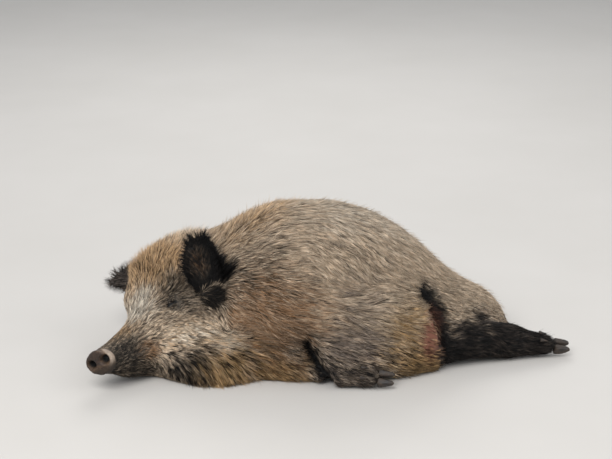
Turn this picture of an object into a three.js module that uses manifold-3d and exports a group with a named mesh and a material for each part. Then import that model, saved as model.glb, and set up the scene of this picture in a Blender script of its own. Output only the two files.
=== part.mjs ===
// A wild boar sow asleep on the floor, at life size: millimetres, +Z up, floor at z = 0.
// She lies on her chest and belly with her chin down, facing -X, so her left side is -Y. Her head is turned
// to her left and rolled a little onto its right cheek. Both forelegs are folded back beside the chest, the
// left hind leg is stretched out behind her, and the right one is folded beside the belly.
//
// The body is one smooth field, negative inside, built from sections, ellipsoids and tapered limbs. It is
// drawn as facets, coarse on the trunk and fine on the head and feet, and parted into nodes by thin cuts.
import * as THREE from "three";
import { mergeVertices } from "three/addons/utils/BufferGeometryUtils.js";
import Module from "manifold-3d";

const wasm = await Module();
wasm.setup();

// ---------------------------------------------------------------- driving dimensions

const GAP = 0.3; // between neighbouring pieces
const FACET = { trunk: 46, head: 22, limb: 25, tail: 16 };

// The head's own frame: origin at the middle of the nose disc, +x back along the skull, -y her left, +z up.
const HEAD = {
  nose: [-522, -163, 76], // where the nose disc's middle lies
  turn: 42, // degrees to her left
  pitch: 4, // nose lower than the poll
  roll: 22, // her left side raised
};
const NOSE = { width: 86, height: 66, depth: 9, bevel: 4, turn: 12, roll: 8, aside: 8, above: 4 };
const NOSTRIL = { apart: 44, above: 3, width: 24, height: 19 };
const EYE = { x: 226, y: 64, z: 60, radius: 12 };
const EAR = { length: 172, width: 116, thickness: 15, cup: 20, fullness: 0.3 };
// Each ear's root in the head's frame, the way its tip points and the way its hollow side faces.
const EARS = {
  left: { root: [284, -158, 60], tip: [0.09, -0.04, 1], facing: [-0.83, -0.54, 0.21] },
  right: { root: [335, 66, 104], tip: [-0.24, 0.82, 0.3], facing: [-0.32, -0.09, 0.94] },
};
const MOUTH = { corner: 128, height: -25 };
const HOOF = { length: 44, width: 21, height: 27, bevel: 4, pointed: 0.5 };
const DEWCLAW = { length: 24, radius: 7 };

// ---------------------------------------------------------------- fields

const vec = (x, y, z) => new THREE.Vector3(x, y, z);
const radians = THREE.MathUtils.degToRad;
const mix = THREE.MathUtils.lerp;
const clamp = THREE.MathUtils.clamp;

/** Two fields joined with a fillet about as wide as k. */
function smoothMin(a, b, k) {
  const overlap = Math.max(k - Math.abs(a - b), 0) / k;
  return Math.min(a, b) - overlap * overlap * k * 0.25;
}

/** The smooth union of several fields. */
function union(k, ...fields) {
  return (p) => fields.reduce((d, field) => smoothMin(d, field(p), k), 1e6);
}

/** The field with a hollow pressed into it. */
function hollowed(field, hollow, k) {
  return (p) => -smoothMin(-field(p), hollow(p), k);
}

/** An ellipsoid. */
function ellipsoid(centre, radii) {
  const q = new THREE.Vector3();
  return (p) => {
    q.subVectors(p, centre).divide(radii);
    const near = q.length();
    const steep = q.divide(radii).length();
    return steep < 1e-9 ? -Math.min(radii.x, radii.y, radii.z) : (near * (near - 1)) / steep;
  };
}

/** A limb that tapers from radius ra at a to rb at b. */
function taper(a, b, ra, rb) {
  const along = b.clone().sub(a);
  const q = new THREE.Vector3();
  return (p) => {
    const share = clamp(q.subVectors(p, a).dot(along) / along.lengthSq(), 0, 1);
    return q.copy(a).addScaledVector(along, share).distanceTo(p) - mix(ra, rb, share);
  };
}

/** A chain of tapers through joints, each given as [x, y, z, radius]. */
function chain(joints, k = 20) {
  const bones = joints.slice(1).map((to, i) => {
    const from = joints[i];
    return taper(vec(...from), vec(...to), from[3], to[3]);
  });
  return union(k, ...bones);
}

/** A smooth curve of y over x through points [x, y], flat past its ends. */
function track(points) {
  const slope = points.map(([x, y], i) => {
    const before = points[i - 1];
    const after = points[i + 1];
    return before && after ? (after[1] - before[1]) / (after[0] - before[0]) : 0;
  });
  return (x) => {
    const last = points.length - 1;
    if (x <= points[0][0]) return points[0][1];
    if (x >= points[last][0]) return points[last][1];
    const i = points.findIndex(([end]) => end > x) - 1;
    const span = points[i + 1][0] - points[i][0];
    const t = (x - points[i][0]) / span;
    const s = t * t * (3 - 2 * t);
    const bend = t * (1 - t) * span * ((1 - t) * slope[i] - t * slope[i + 1]);
    return mix(points[i][1], points[i + 1][1], s) + bend;
  };
}

/** A body along x through stations {x, y, w, top, bottom}, of some squareness, with a cap at each end. */
function sections(stations, power = 2, caps = []) {
  const column = (key) => track(stations.map((s) => [s.x, s[key]]));
  const [y, w, top, bottom] = ["y", "w", "top", "bottom"].map(column);
  const first = stations[0].x;
  const last = stations[stations.length - 1].x;
  return (p) => {
    const x = clamp(p.x, first, last);
    const half = (top(x) - bottom(x)) / 2;
    const width = w(x);
    const round = Math.min(width, half);
    const across = Math.abs((p.y - y(x)) / width) ** power;
    const up = Math.abs((p.z - bottom(x) - half) / half) ** power;
    const cap = (p.x < x ? caps[0] : caps[1]) ?? round;
    const past = Math.abs((p.x - x) / cap) ** power;
    return ((across + up + past) ** (1 / power) - 1) * round;
  };
}

/** A field given in a frame of its own, seen from the boar's frame. */
function placed(frame, field) {
  const inverse = frame.clone().invert();
  const q = new THREE.Vector3();
  return (p) => field(q.copy(p).applyMatrix4(inverse));
}

/** The same field for her left (-1) and right (+1) sides. */
const bothSides = (make) => [-1, 1].map(make);

// ---------------------------------------------------------------- the boar's shape

const headFrame = new THREE.Matrix4().compose(
  vec(...HEAD.nose),
  new THREE.Quaternion().setFromEuler(
    new THREE.Euler(radians(-HEAD.roll), radians(-HEAD.pitch), radians(HEAD.turn), "ZYX"),
  ),
  vec(1, 1, 1),
);
const onHead = (x, y, z) => vec(x, y, z).applyMatrix4(headFrame);

function skull() {
  const profile = sections(
    [
      { x: 14, y: -6, w: 38, top: 35, bottom: -34 },
      { x: 62, y: -2, w: 39, top: 41, bottom: -66 },
      { x: 115, y: 0, w: 47, top: 53, bottom: -84 },
      { x: 166, y: 0, w: 60, top: 73, bottom: -98 },
      { x: 216, y: 0, w: 77, top: 112, bottom: -106 },
      { x: 266, y: 0, w: 94, top: 158, bottom: -110 },
      { x: 320, y: 0, w: 106, top: 188, bottom: -112 },
      { x: 410, y: 0, w: 120, top: 190, bottom: -112 },
    ],
    2.25,
  );
  const cheeks = bothSides((side) => ellipsoid(vec(272, side * 66, -24), vec(100, 58, 86)));
  const cheekbones = bothSides((side) => taper(vec(198, side * 54, 16), vec(300, side * 84, 26), 21, 25));
  const brows = bothSides((side) => taper(vec(198, side * 38, 84), vec(262, side * 64, 102), 17, 24));
  const farTemple = taper(vec(206, 58, 90), vec(262, 84, 104), 18, 22);
  const crown = ellipsoid(vec(288, 16, 132), vec(70, 78, 62));
  const earRoots = bothSides((side) => ellipsoid(vec(318, side * 92, 62), vec(42, 34, 46)));
  const earStalk = taper(vec(306, -112, 54), vec(286, -150, 56), 28, 16);
  const lips = bothSides((side) => taper(vec(72, side * 23, -23), vec(140, side * 38, -25), 17, 23));
  const upper = [crown, ...brows, farTemple, ...earRoots, earStalk];
  const shape = union(28, profile, ...upper, ...cheeks, ...cheekbones, ...lips);
  const sockets = bothSides((side) => ellipsoid(vec(EYE.x - 2, side * 80, EYE.z - 6), vec(22, 13, 14)));
  return hollowed(shape, union(8, ...sockets), 16);
}

/** The loose skin and long hair of the throat and cheeks, spread on the floor beside the jaw. */
function ruff() {
  const near = ellipsoid(vec(-206, -72, 40), vec(182, 122, 84));
  const far = ellipsoid(vec(-214, 124, 40), vec(150, 108, 80));
  return union(30, near, far);
}

function trunk() {
  return sections(
    [
      { x: -40, y: -6, w: 214, top: 378, bottom: -98 },
      { x: 0, y: -8, w: 226, top: 390, bottom: -102 },
      { x: 100, y: -8, w: 244, top: 394, bottom: -106 },
      { x: 200, y: -8, w: 250, top: 364, bottom: -106 },
      { x: 300, y: -4, w: 228, top: 300, bottom: -94 },
      { x: 390, y: 4, w: 176, top: 212, bottom: -74 },
      { x: 462, y: 8, w: 120, top: 140, bottom: -50 },
    ],
    2.3,
    [130, 96],
  );
}

/** The thick neck, and the crest of the withers that runs down it. */
function neck() {
  const thick = taper(vec(-80, 14, 176), onHead(370, 56, 10), 168, 106);
  const crest = taper(vec(-20, 0, 302), onHead(370, 10, 122), 86, 72);
  return union(50, thick, crest);
}

// Limb joints as [x, y, z, radius], from the body outwards, and the way the front of the foot faces.
const LIMBS = {
  foreleg_left: {
    upper: [[-20, -120, 200, 90], [116, -176, 84, 60]],
    lower: [[116, -164, 80, 50], [34, -200, 43, 38], [62, -230, 34, 31], [150, -257, 27, 25]],
    dorsal: [0, 0.75, -0.65],
    pressed: true, // into the chest
  },
  foreleg_right: {
    upper: [[-20, 120, 200, 90], [116, 176, 84, 60]],
    lower: [[116, 164, 80, 50], [34, 200, 43, 38], [62, 230, 34, 31], [150, 257, 27, 25]],
    dorsal: [0, -0.75, -0.65],
    pressed: true,
  },
  hind_leg_left: {
    upper: [[400, -60, 96, 82], [336, -150, 78, 62]],
    lower: [[350, -150, 72, 58], [532, -138, 46, 42], [642, -152, 29, 25]],
    dorsal: [0, 0.4, -1],
  },
  hind_leg_right: {
    upper: [[400, 56, 90, 80], [318, 168, 80, 62]],
    lower: [[318, 178, 76, 58], [486, 196, 44, 40], [452, 226, 34, 31], [362, 262, 27, 25]],
    dorsal: [0, -1, 0.5],
  },
};
const TAIL = [
  [508, 12, 104, 20],
  [540, 10, 70, 15],
  [556, 0, 34, 13],
  [562, -26, 15, 14],
  [560, -66, 11, 10],
];

function body() {
  const torso = union(36, union(70, trunk(), neck()), ruff());
  const hams = Object.values(LIMBS).map((limb) => chain(limb.upper));
  const armpits = bothSides((side) => taper(vec(24, side * 250, -10), vec(-16, side * 216, 120), 24, 12));
  const whole = union(30, union(46, torso, ...hams), placed(headFrame, skull()));
  return hollowed(whole, union(8, ...armpits), 20);
}

// ---------------------------------------------------------------- facets

/** A geometry as a solid that can be cut and joined. */
function solidOf(geometry) {
  const bare = new THREE.BufferGeometry();
  bare.setAttribute("position", geometry.getAttribute("position"));
  bare.setIndex(geometry.index);
  const merged = mergeVertices(bare, 1e-4);
  return new wasm.Manifold(
    new wasm.Mesh({
      numProp: 3,
      vertProperties: new Float32Array(merged.attributes.position.array),
      triVerts: new Uint32Array(merged.index.array),
    }),
  );
}

/** A solid's facets as a geometry. */
function geometryOf(solid) {
  const { numProp, numVert, vertProperties, triVerts } = solid.getMesh();
  const places = new Float32Array(numVert * 3);
  for (let i = 0; i < numVert; i++) {
    places.set(vertProperties.subarray(i * numProp, i * numProp + 3), i * 3);
  }
  const geometry = new THREE.BufferGeometry();
  geometry.setAttribute("position", new THREE.BufferAttribute(places, 3));
  geometry.setIndex(new THREE.BufferAttribute(new Uint32Array(triVerts), 1));
  return geometry;
}

/** Where a field falls fastest towards its surface, as a step onto the surface. */
function stepOnto(field, p, reach) {
  const e = 0.5;
  const here = field(p);
  const slope = vec(
    field(vec(p.x + e, p.y, p.z)) - field(vec(p.x - e, p.y, p.z)),
    field(vec(p.x, p.y + e, p.z)) - field(vec(p.x, p.y - e, p.z)),
    field(vec(p.x, p.y, p.z + e)) - field(vec(p.x, p.y, p.z - e)),
  ).divideScalar(2 * e);
  const step = slope.multiplyScalar(-here / Math.max(slope.lengthSq(), 1e-6));
  return p.add(step.clampLength(0, reach));
}

/** Whether each edge belongs to just two of the faces. */
function edgesPair(faces) {
  const uses = new Map();
  for (let i = 0; i < faces.length; i += 3) {
    for (const [a, b] of [[0, 1], [1, 2], [2, 0]]) {
      const ends = [faces[i + a], faces[i + b]].sort((m, n) => m - n).join();
      uses.set(ends, (uses.get(ends) ?? 0) + 1);
    }
  }
  return [...uses.values()].every((count) => count === 2);
}

/** A field's facets from the first grid of cells in which no two sheets of it share an edge. */
function facetted(field, box, cell) {
  for (let shift = 0; shift < 8; shift++) {
    const grid = box.clone().translate(vec(1, 1, 1).multiplyScalar((shift * cell) / 8));
    const geometry = netOver(field, grid, cell);
    if (edgesPair(geometry.index.array)) return geometry;
  }
  throw new Error("the field folds too tightly for this cell");
}

/** The part of a field inside a box, as a closed net of facets about a cell wide, by surface nets. */
function netOver(field, box, cell) {
  const size = box.getSize(new THREE.Vector3());
  const count = [size.x, size.y, size.z].map((length) => Math.ceil(length / cell) + 1);
  const [nx, ny, nz] = count;
  const at = (i, j, k) => (k * ny + j) * nx + i;
  const place = (i, j, k) => vec(i, j, k).multiplyScalar(cell).add(box.min);
  const value = new Float32Array(nx * ny * nz);
  for (let k = 0; k < nz; k++) {
    for (let j = 0; j < ny; j++) {
      for (let i = 0; i < nx; i++) {
        const edge = i === 0 || j === 0 || k === 0 || i === nx - 1 || j === ny - 1 || k === nz - 1;
        value[at(i, j, k)] = edge ? cell / 2 : field(place(i, j, k));
      }
    }
  }
  // One vertex in each cell that the surface crosses, at the middle of its crossings, then drawn onto it.
  const corners = [0, 1, 2, 3, 4, 5, 6, 7].map((c) => [c & 1, (c >> 1) & 1, c >> 2]);
  const edges = corners.flatMap((a, i) =>
    corners.slice(i + 1).flatMap((b) => (a.filter((n, axis) => n !== b[axis]).length === 1 ? [[a, b]] : [])),
  );
  const vertex = new Map();
  const places = [];
  for (let k = 0; k < nz - 1; k++) {
    for (let j = 0; j < ny - 1; j++) {
      for (let i = 0; i < nx - 1; i++) {
        const sum = new THREE.Vector3();
        let crossings = 0;
        for (const [a, b] of edges) {
          const va = value[at(i + a[0], j + a[1], k + a[2])];
          const vb = value[at(i + b[0], j + b[1], k + b[2])];
          if (va < 0 === vb < 0) continue;
          sum.add(vec(...a).lerp(vec(...b), va / (va - vb)));
          crossings++;
        }
        if (!crossings) continue;
        const p = sum.divideScalar(crossings).add(vec(i, j, k)).multiplyScalar(cell).add(box.min);
        const inBox = Math.min(i, j, k, nx - 2 - i, ny - 2 - j, nz - 2 - k) > 0;
        if (inBox) stepOnto(field, stepOnto(field, p, cell * 0.3), cell * 0.2);
        vertex.set(at(i, j, k), places.length / 3);
        places.push(p.x, p.y, p.z);
      }
    }
  }
  // One quad round each grid edge that the surface crosses, split along its shorter diagonal.
  const faces = [];
  const corner = (n) => vec(...places.slice(n * 3, n * 3 + 3));
  const quad = (a, b, c, d) => {
    if (corner(a).distanceTo(corner(c)) < corner(b).distanceTo(corner(d))) faces.push(a, b, c, a, c, d);
    else faces.push(b, c, d, b, d, a);
  };
  for (let k = 0; k < nz - 1; k++) {
    for (let j = 0; j < ny - 1; j++) {
      for (let i = 0; i < nx - 1; i++) {
        const inside = value[at(i, j, k)] < 0;
        const around = [
          [[1, 0, 0], [0, -1, -1], [0, 0, -1], [0, 0, 0], [0, -1, 0]],
          [[0, 1, 0], [-1, 0, -1], [-1, 0, 0], [0, 0, 0], [0, 0, -1]],
          [[0, 0, 1], [-1, -1, 0], [0, -1, 0], [0, 0, 0], [-1, 0, 0]],
        ];
        for (const [[di, dj, dk], ...cells] of around) {
          if (inside === value[at(i + di, j + dj, k + dk)] < 0) continue;
          const ring = cells.map(([ci, cj, ck]) => vertex.get(at(i + ci, j + cj, k + ck)));
          quad(...(inside ? ring : ring.reverse()));
        }
      }
    }
  }
  const geometry = new THREE.BufferGeometry();
  geometry.setAttribute("position", new THREE.BufferAttribute(new Float32Array(places), 3));
  geometry.setIndex(faces);
  return geometry;
}

/** A closed geometry with its surface moved outwards. */
function swollen(geometry, by) {
  const bare = new THREE.BufferGeometry();
  bare.setAttribute("position", geometry.getAttribute("position"));
  bare.setIndex(geometry.index);
  const grown = mergeVertices(bare, 1e-4);
  grown.computeVertexNormals();
  const { position, normal } = grown.attributes;
  for (let i = 0; i < position.count; i++) {
    position.setXYZ(
      i,
      position.getX(i) + normal.getX(i) * by,
      position.getY(i) + normal.getY(i) * by,
      position.getZ(i) + normal.getZ(i) * by,
    );
  }
  return grown;
}

/** A block between two corners, turned by a frame, as a solid. */
function block(low, high, frame = new THREE.Matrix4()) {
  const size = high.clone().sub(low);
  const middle = high.clone().add(low).divideScalar(2);
  const geometry = new THREE.BoxGeometry(size.x, size.y, size.z);
  geometry.translate(middle.x, middle.y, middle.z);
  geometry.applyMatrix4(frame);
  return solidOf(geometry);
}

/** A box round points, grown by a margin. */
const boxRound = (points, margin) => new THREE.Box3().setFromPoints(points).expandByScalar(margin);

/** The largest single body of a solid, so that a cut leaves no crumbs. */
function largest(solid) {
  return solid.decompose().sort((a, b) => b.volume() - a.volume())[0];
}

// ---------------------------------------------------------------- nodes

const HIDE = {
  body: 0x6f5d4a,
  face: 0x7b6a52,
  dark: 0x2b2522,
  nose: 0x5d4a42,
  eye: 0x120d0a,
  hoof: 0x1d1916,
};
const FLOOR = block(vec(-2000, -2000, -600), vec(2000, 2000, 0));
const boar = new THREE.Group();

/** Adds a solid to the boar as a named mesh. */
function add(name, solid, colour, roughness = 0.9) {
  const material = new THREE.MeshStandardMaterial({ color: colour, roughness, metalness: 0 });
  const mesh = new THREE.Mesh(geometryOf(largest(solid)), material);
  mesh.name = name;
  boar.add(mesh);
}

/** A chain of limb joints as facets. */
function limbFacets(joints, cell) {
  const box = boxRound(joints.map(([x, y, z]) => vec(x, y, z)), 80);
  return facetted(chain(joints), box, cell);
}

/** A frame whose z axis points along one direction and whose y axis leans towards another. */
function frameAlong(origin, direction, upward) {
  const z = direction.clone().normalize();
  const x = upward.clone().cross(z).normalize();
  const y = z.clone().cross(x);
  return new THREE.Matrix4().makeBasis(x, y, z).setPosition(origin);
}

/** The nose disc, a bevelled oval slab with two blind nostrils, facing the head's -x. */
function noseDisc() {
  const { width, height, depth, bevel } = NOSE;
  const oval = new THREE.Shape();
  oval.absellipse(0, 0, width / 2 - bevel, height / 2 - bevel, 0, Math.PI * 2);
  const slab = new THREE.ExtrudeGeometry(oval, {
    depth,
    bevelSize: bevel,
    bevelThickness: bevel,
    bevelSegments: 2,
    curveSegments: 11,
  });
  const nostril = (side) =>
    new THREE.SphereGeometry(1, 10, 8)
      .scale(NOSTRIL.width / 2, NOSTRIL.height / 2, 11)
      .translate((side * NOSTRIL.apart) / 2, NOSTRIL.above, depth + bevel);
  return bothSides(nostril).reduce((disc, hole) => disc.subtract(solidOf(hole)), solidOf(slab));
}

/** A claw: half of a cloven hoof, broad at the back, narrow at the tip, along +z with its sole at -y. */
function claw({ length, width, height, bevel, pointed }) {
  const sole = new THREE.Shape()
    .moveTo(bevel, bevel)
    .lineTo(length * 0.62, bevel)
    .quadraticCurveTo(length - bevel, bevel, length - bevel, height * 0.34)
    .quadraticCurveTo(length * 0.7, height * 0.8, bevel, height - bevel)
    .closePath();
  const geometry = new THREE.ExtrudeGeometry(sole, {
    depth: width - 2 * bevel,
    bevelSize: bevel - 0.5,
    bevelThickness: bevel,
    bevelSegments: 1,
    curveSegments: 3,
  });
  geometry.translate(0, 0, bevel - width / 2).rotateY(-Math.PI / 2);
  const place = geometry.getAttribute("position");
  for (let i = 0; i < place.count; i++) {
    const along = clamp(place.getZ(i) / length, 0, 1);
    place.setX(i, place.getX(i) * (1 - pointed * along * along));
  }
  return geometry;
}

/** An ear as a cupped leaf: root at the origin, tip along +z, hollow side facing +y. */
function earLeaf() {
  const { length, width, thickness, cup, fullness } = EAR;
  const leaf = new THREE.SphereGeometry(1, 12, 10).rotateX(Math.PI / 2);
  const place = leaf.getAttribute("position");
  for (let i = 0; i < place.count; i++) {
    const [x, y, z] = [place.getX(i), place.getY(i), place.getZ(i)];
    const up = (z + 1) / 2;
    const full = Math.max(1 - z * z, 0.02) ** (-fullness * up);
    const across = x * full * (width / 2) * (0.94 - 0.14 * up + 0.14 * Math.sin(up * Math.PI));
    const bend = cup * (x * x - 0.4) - 16 * up * up;
    place.setXYZ(i, across, (y * thickness) / 2 + bend, up * length - 12);
  }
  return leaf;
}

const bodyField = body();
const bodyBox = new THREE.Box3(vec(-440, -330, -30), vec(700, 330, 460));
const headBox = new THREE.Box3(vec(-620, -290, -20), vec(-100, 260, 400));
const bodyFacets = facetted(bodyField, bodyBox, FACET.trunk);
const headFacets = facetted(bodyField, headBox, FACET.head);
const bodyRoom = solidOf(swollen(bodyFacets, GAP));
const headRoom = solidOf(swollen(headFacets, GAP));
let coarse = solidOf(bodyFacets).subtract(FLOOR);
let fine = solidOf(headFacets).subtract(FLOOR);

/** A closed shape with a gap round it, to be taken out of a neighbour. */
function roomFor(geometry) {
  return solidOf(swollen(geometry, GAP)).add(solidOf(geometry));
}

/** Adds the part of the body inside a ball-like cutter, and takes it and a gap round it out of the body. */
function addCut(name, cutter, colour) {
  add(name, coarse.intersect(solidOf(cutter)), colour);
  coarse = coarse.subtract(roomFor(cutter));
}

/** Adds a lower leg, cut flat where its two claws begin, and its claws and dewclaws. */
function addFoot(name, { lower, dorsal, pressed }) {
  const leg = limbFacets(lower, FACET.limb);
  const [from, to] = lower.slice(-2).map(([x, y, z]) => vec(x, y, z));
  const along = to.clone().sub(from).normalize();
  const foot = frameAlong(to.clone().addScaledVector(along, 10), along, vec(...dorsal));
  const beyond = block(vec(-80, -80, 0), vec(80, 80, 120), foot);
  const whole = solidOf(leg).subtract(FLOOR).subtract(beyond);
  const room = roomFor(leg);
  add(name, pressed ? whole : whole.subtract(bodyRoom), HIDE.dark);
  if (pressed) coarse = coarse.subtract(room);
  const soleward = -(lower[lower.length - 1][3] + 3);
  for (const side of [-1, 1]) {
    const word = side < 0 ? "outer" : "inner";
    const place = new THREE.Matrix4().makeTranslation(side * (HOOF.width / 2 + 1), -HOOF.height / 2, GAP);
    const hoof = claw(HOOF).applyMatrix4(foot.clone().multiply(place));
    add(`${name}_hoof_${word}`, solidOf(hoof).subtract(FLOOR).subtract(bodyRoom), HIDE.hoof, 0.4);
    const dewclaw = new THREE.CylinderGeometry(DEWCLAW.radius * 0.3, DEWCLAW.radius, DEWCLAW.length, 9);
    dewclaw.rotateX(Math.PI / 2).translate(side * 13, soleward, -32).applyMatrix4(foot);
    const free = solidOf(dewclaw).subtract(room).subtract(FLOOR).subtract(bodyRoom);
    add(`${name}_dewclaw_${word}`, free, HIDE.hoof, 0.4);
  }
}

for (const [name, limb] of Object.entries(LIMBS)) addFoot(name, limb);
add("tail", solidOf(limbFacets(TAIL, FACET.tail)).subtract(FLOOR).subtract(bodyRoom), HIDE.dark);
for (const [name, limb] of Object.entries(LIMBS)) {
  const [root, joint] = limb.upper.map(([x, y, z]) => vec(x, y, z));
  const along = joint.clone().sub(root);
  const ball = new THREE.SphereGeometry(1, 10, 7).scale(104, 104, along.length() / 2 + 84);
  ball.applyMatrix4(frameAlong(root.clone().lerp(joint, 0.62), along, vec(0, 0, 1)));
  addCut(`${name}_upper`, ball, HIDE.body);
}

// The planes that part head, neck and trunk, each seen from a frame whose x axis crosses it.
const napeFrame = new THREE.Matrix4().makeRotationZ(radians(20)).setPosition(onHead(350, 0, 10));
const headCut = (shift) => block(vec(-900, -900, -900), vec(shift, 900, 900), napeFrame);
const shoulderCut = (shift) => block(vec(-900, -900, -900), vec(-60 + shift, 900, 900));
const jawCut = (grow) => {
  const low = vec(-60, -58 - grow, -84 - grow);
  const high = vec(MOUTH.corner + grow, 58 + grow, MOUTH.height + grow);
  return block(low, high, headFrame);
};

for (const side of [-1, 1]) {
  const word = side < 0 ? "left" : "right";
  const eyeball = new THREE.SphereGeometry(EYE.radius, 10, 8);
  eyeball.translate(EYE.x, side * EYE.y, EYE.z).applyMatrix4(headFrame);
  add(`eye_${word}`, solidOf(eyeball), HIDE.eye, 0.1);
  fine = fine.subtract(roomFor(eyeball));
}
for (const [word, { root, tip, facing }] of Object.entries(EARS)) {
  const place = headFrame.clone().multiply(frameAlong(vec(...root), vec(...tip), vec(...facing)));
  const leaf = solidOf(earLeaf().applyMatrix4(place));
  add(`ear_${word}`, leaf.subtract(headRoom).subtract(bodyRoom), HIDE.dark);
}

const noseFrame = headFrame
  .clone()
  .multiply(new THREE.Matrix4().makeRotationZ(radians(NOSE.turn)))
  .multiply(frameAlong(vec(0, -NOSE.aside, NOSE.above), vec(-1, 0, 0), vec(0, 0, 1)))
  .multiply(new THREE.Matrix4().makeRotationZ(radians(NOSE.roll)));
add("nose", noseDisc().transform(noseFrame.elements), HIDE.nose, 0.5);
fine = fine.subtract(block(vec(-200, -200, -NOSE.bevel - GAP), vec(200, 200, 200), noseFrame));

add("lower_jaw", fine.intersect(jawCut(0)), HIDE.face);
add("head", fine.intersect(headCut(0)).subtract(jawCut(GAP)), HIDE.face);
add("neck", coarse.subtract(headCut(GAP)).intersect(shoulderCut(0)), HIDE.body);
add("trunk", coarse.subtract(headCut(GAP)).subtract(shoulderCut(GAP)), HIDE.body);

// The frame's origin is the middle of the box round her, on the floor.
const extent = new THREE.Box3().setFromObject(boar);
const middle = extent.getCenter(new THREE.Vector3());
for (const mesh of boar.children) mesh.geometry.translate(-middle.x, -middle.y, -extent.min.z);

export default boar;
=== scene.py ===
"""A wild boar sow asleep on the floor, life size, in metres: skin, coat, eyes and hooves."""

import itertools
import logging
import math
from dataclasses import dataclass, field
from enum import Enum
from typing import Callable, Sequence

import bmesh
import bpy
import numpy as np
from mathutils import Euler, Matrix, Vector
from mathutils.bvhtree import BVHTree
from mathutils.kdtree import KDTree


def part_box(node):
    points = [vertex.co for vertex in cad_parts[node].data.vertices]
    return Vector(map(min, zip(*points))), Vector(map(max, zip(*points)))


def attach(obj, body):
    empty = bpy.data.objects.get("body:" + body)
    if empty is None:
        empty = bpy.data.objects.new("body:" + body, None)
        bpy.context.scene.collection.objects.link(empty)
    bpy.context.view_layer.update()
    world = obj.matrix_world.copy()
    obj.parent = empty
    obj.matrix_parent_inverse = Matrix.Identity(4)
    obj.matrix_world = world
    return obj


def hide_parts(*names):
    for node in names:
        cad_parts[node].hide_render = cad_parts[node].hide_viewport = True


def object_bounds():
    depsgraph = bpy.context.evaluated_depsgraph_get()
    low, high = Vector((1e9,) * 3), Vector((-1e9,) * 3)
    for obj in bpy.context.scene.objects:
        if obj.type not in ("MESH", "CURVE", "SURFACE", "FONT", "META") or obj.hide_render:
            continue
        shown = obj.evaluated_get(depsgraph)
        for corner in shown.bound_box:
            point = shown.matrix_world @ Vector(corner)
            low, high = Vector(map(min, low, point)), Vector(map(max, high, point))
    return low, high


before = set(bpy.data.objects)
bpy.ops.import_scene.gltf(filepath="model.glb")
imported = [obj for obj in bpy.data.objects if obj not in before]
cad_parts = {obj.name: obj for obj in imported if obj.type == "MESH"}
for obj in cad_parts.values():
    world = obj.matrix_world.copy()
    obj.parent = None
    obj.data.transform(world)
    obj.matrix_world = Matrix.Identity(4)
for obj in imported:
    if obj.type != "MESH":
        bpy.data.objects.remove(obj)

CAD_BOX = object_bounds()
LOG = logging.getLogger("boar")
MM = 0.001
SIDES = (-1, 1)  # her left, her right
EYES = ("eye_left", "eye_right")
Array = np.ndarray


# ---------------------------------------------------------------- numbers over a surface


def smoothstep(low: float, high: float, x: Array) -> Array:
    """A smooth rise from 0 at low to 1 at high."""
    t = np.clip((x - low) / (high - low), 0.0, 1.0)
    return t * t * (3.0 - 2.0 * t)


def fade(low: float, high: float, x: Array) -> Array:
    """A smooth fall from 1 at low to 0 at high."""
    return 1.0 - smoothstep(low, high, x)


def bell(x: Array, width: float, middle: float = 0.0, power: int = 2) -> Array:
    """A round rise to 1 at the middle, gone a few widths off."""
    return np.exp(-(((x - middle) / width) ** power))


def unit(v: Array) -> Array:
    """The vectors at length one."""
    return v / np.maximum(np.linalg.norm(v, axis=-1, keepdims=True), 1e-9)


SCRAMBLE = np.array([73856093, 19349663, 83492791])
WORD = 0x7FFFFFFF


def mottle(p: Array, cell: float, seed: int) -> Array:
    """Smooth value noise from 0 to 1.

    Args:
        p: Places, n by 3.
        cell: The size of one patch, in the unit of the places.
        seed: Which of the endless patterns.

    Returns:
        One number for each place.
    """
    q = p / cell
    base = np.floor(q).astype(np.int64)
    part = q - base
    part = part * part * (3.0 - 2.0 * part)
    total = np.zeros(len(p))
    for corner in itertools.product((0, 1), repeat=3):
        at = base + np.array(corner)
        key = np.bitwise_xor.reduce(at * SCRAMBLE, axis=1) ^ (seed * 40503 + 977)
        key = (key & WORD) * 1274126177 & WORD
        key = ((key ^ (key >> 15)) * 2246822519) & WORD
        share = np.prod(np.where(np.array(corner) == 1, part, 1.0 - part), axis=1)
        total += share * ((key >> 7) & 0xFFFF) / 65535.0
    return total


def blob(p: Array, centre: Sequence[float], radii: Sequence[float], ragged: float = 0.25) -> Array:
    """A soft patch, 1 inside an ellipsoid and 0 outside.

    Args:
        p: Places, n by 3.
        centre: The ellipsoid's middle.
        radii: Its half sizes.
        ragged: How far its border wanders.

    Returns:
        How far the patch covers each place.
    """
    far = np.linalg.norm((p - np.array(centre)) / np.array(radii), axis=1)
    far += ragged * (mottle(p, float(np.mean(radii)) * 0.35, 11) - 0.5)
    return fade(0.35, 1.3, far)


# ---------------------------------------------------------------- frames of the body


def middle_of(node: str) -> Vector:
    """The middle of a CAD node's box."""
    return sum(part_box(node), Vector()) / 2


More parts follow.
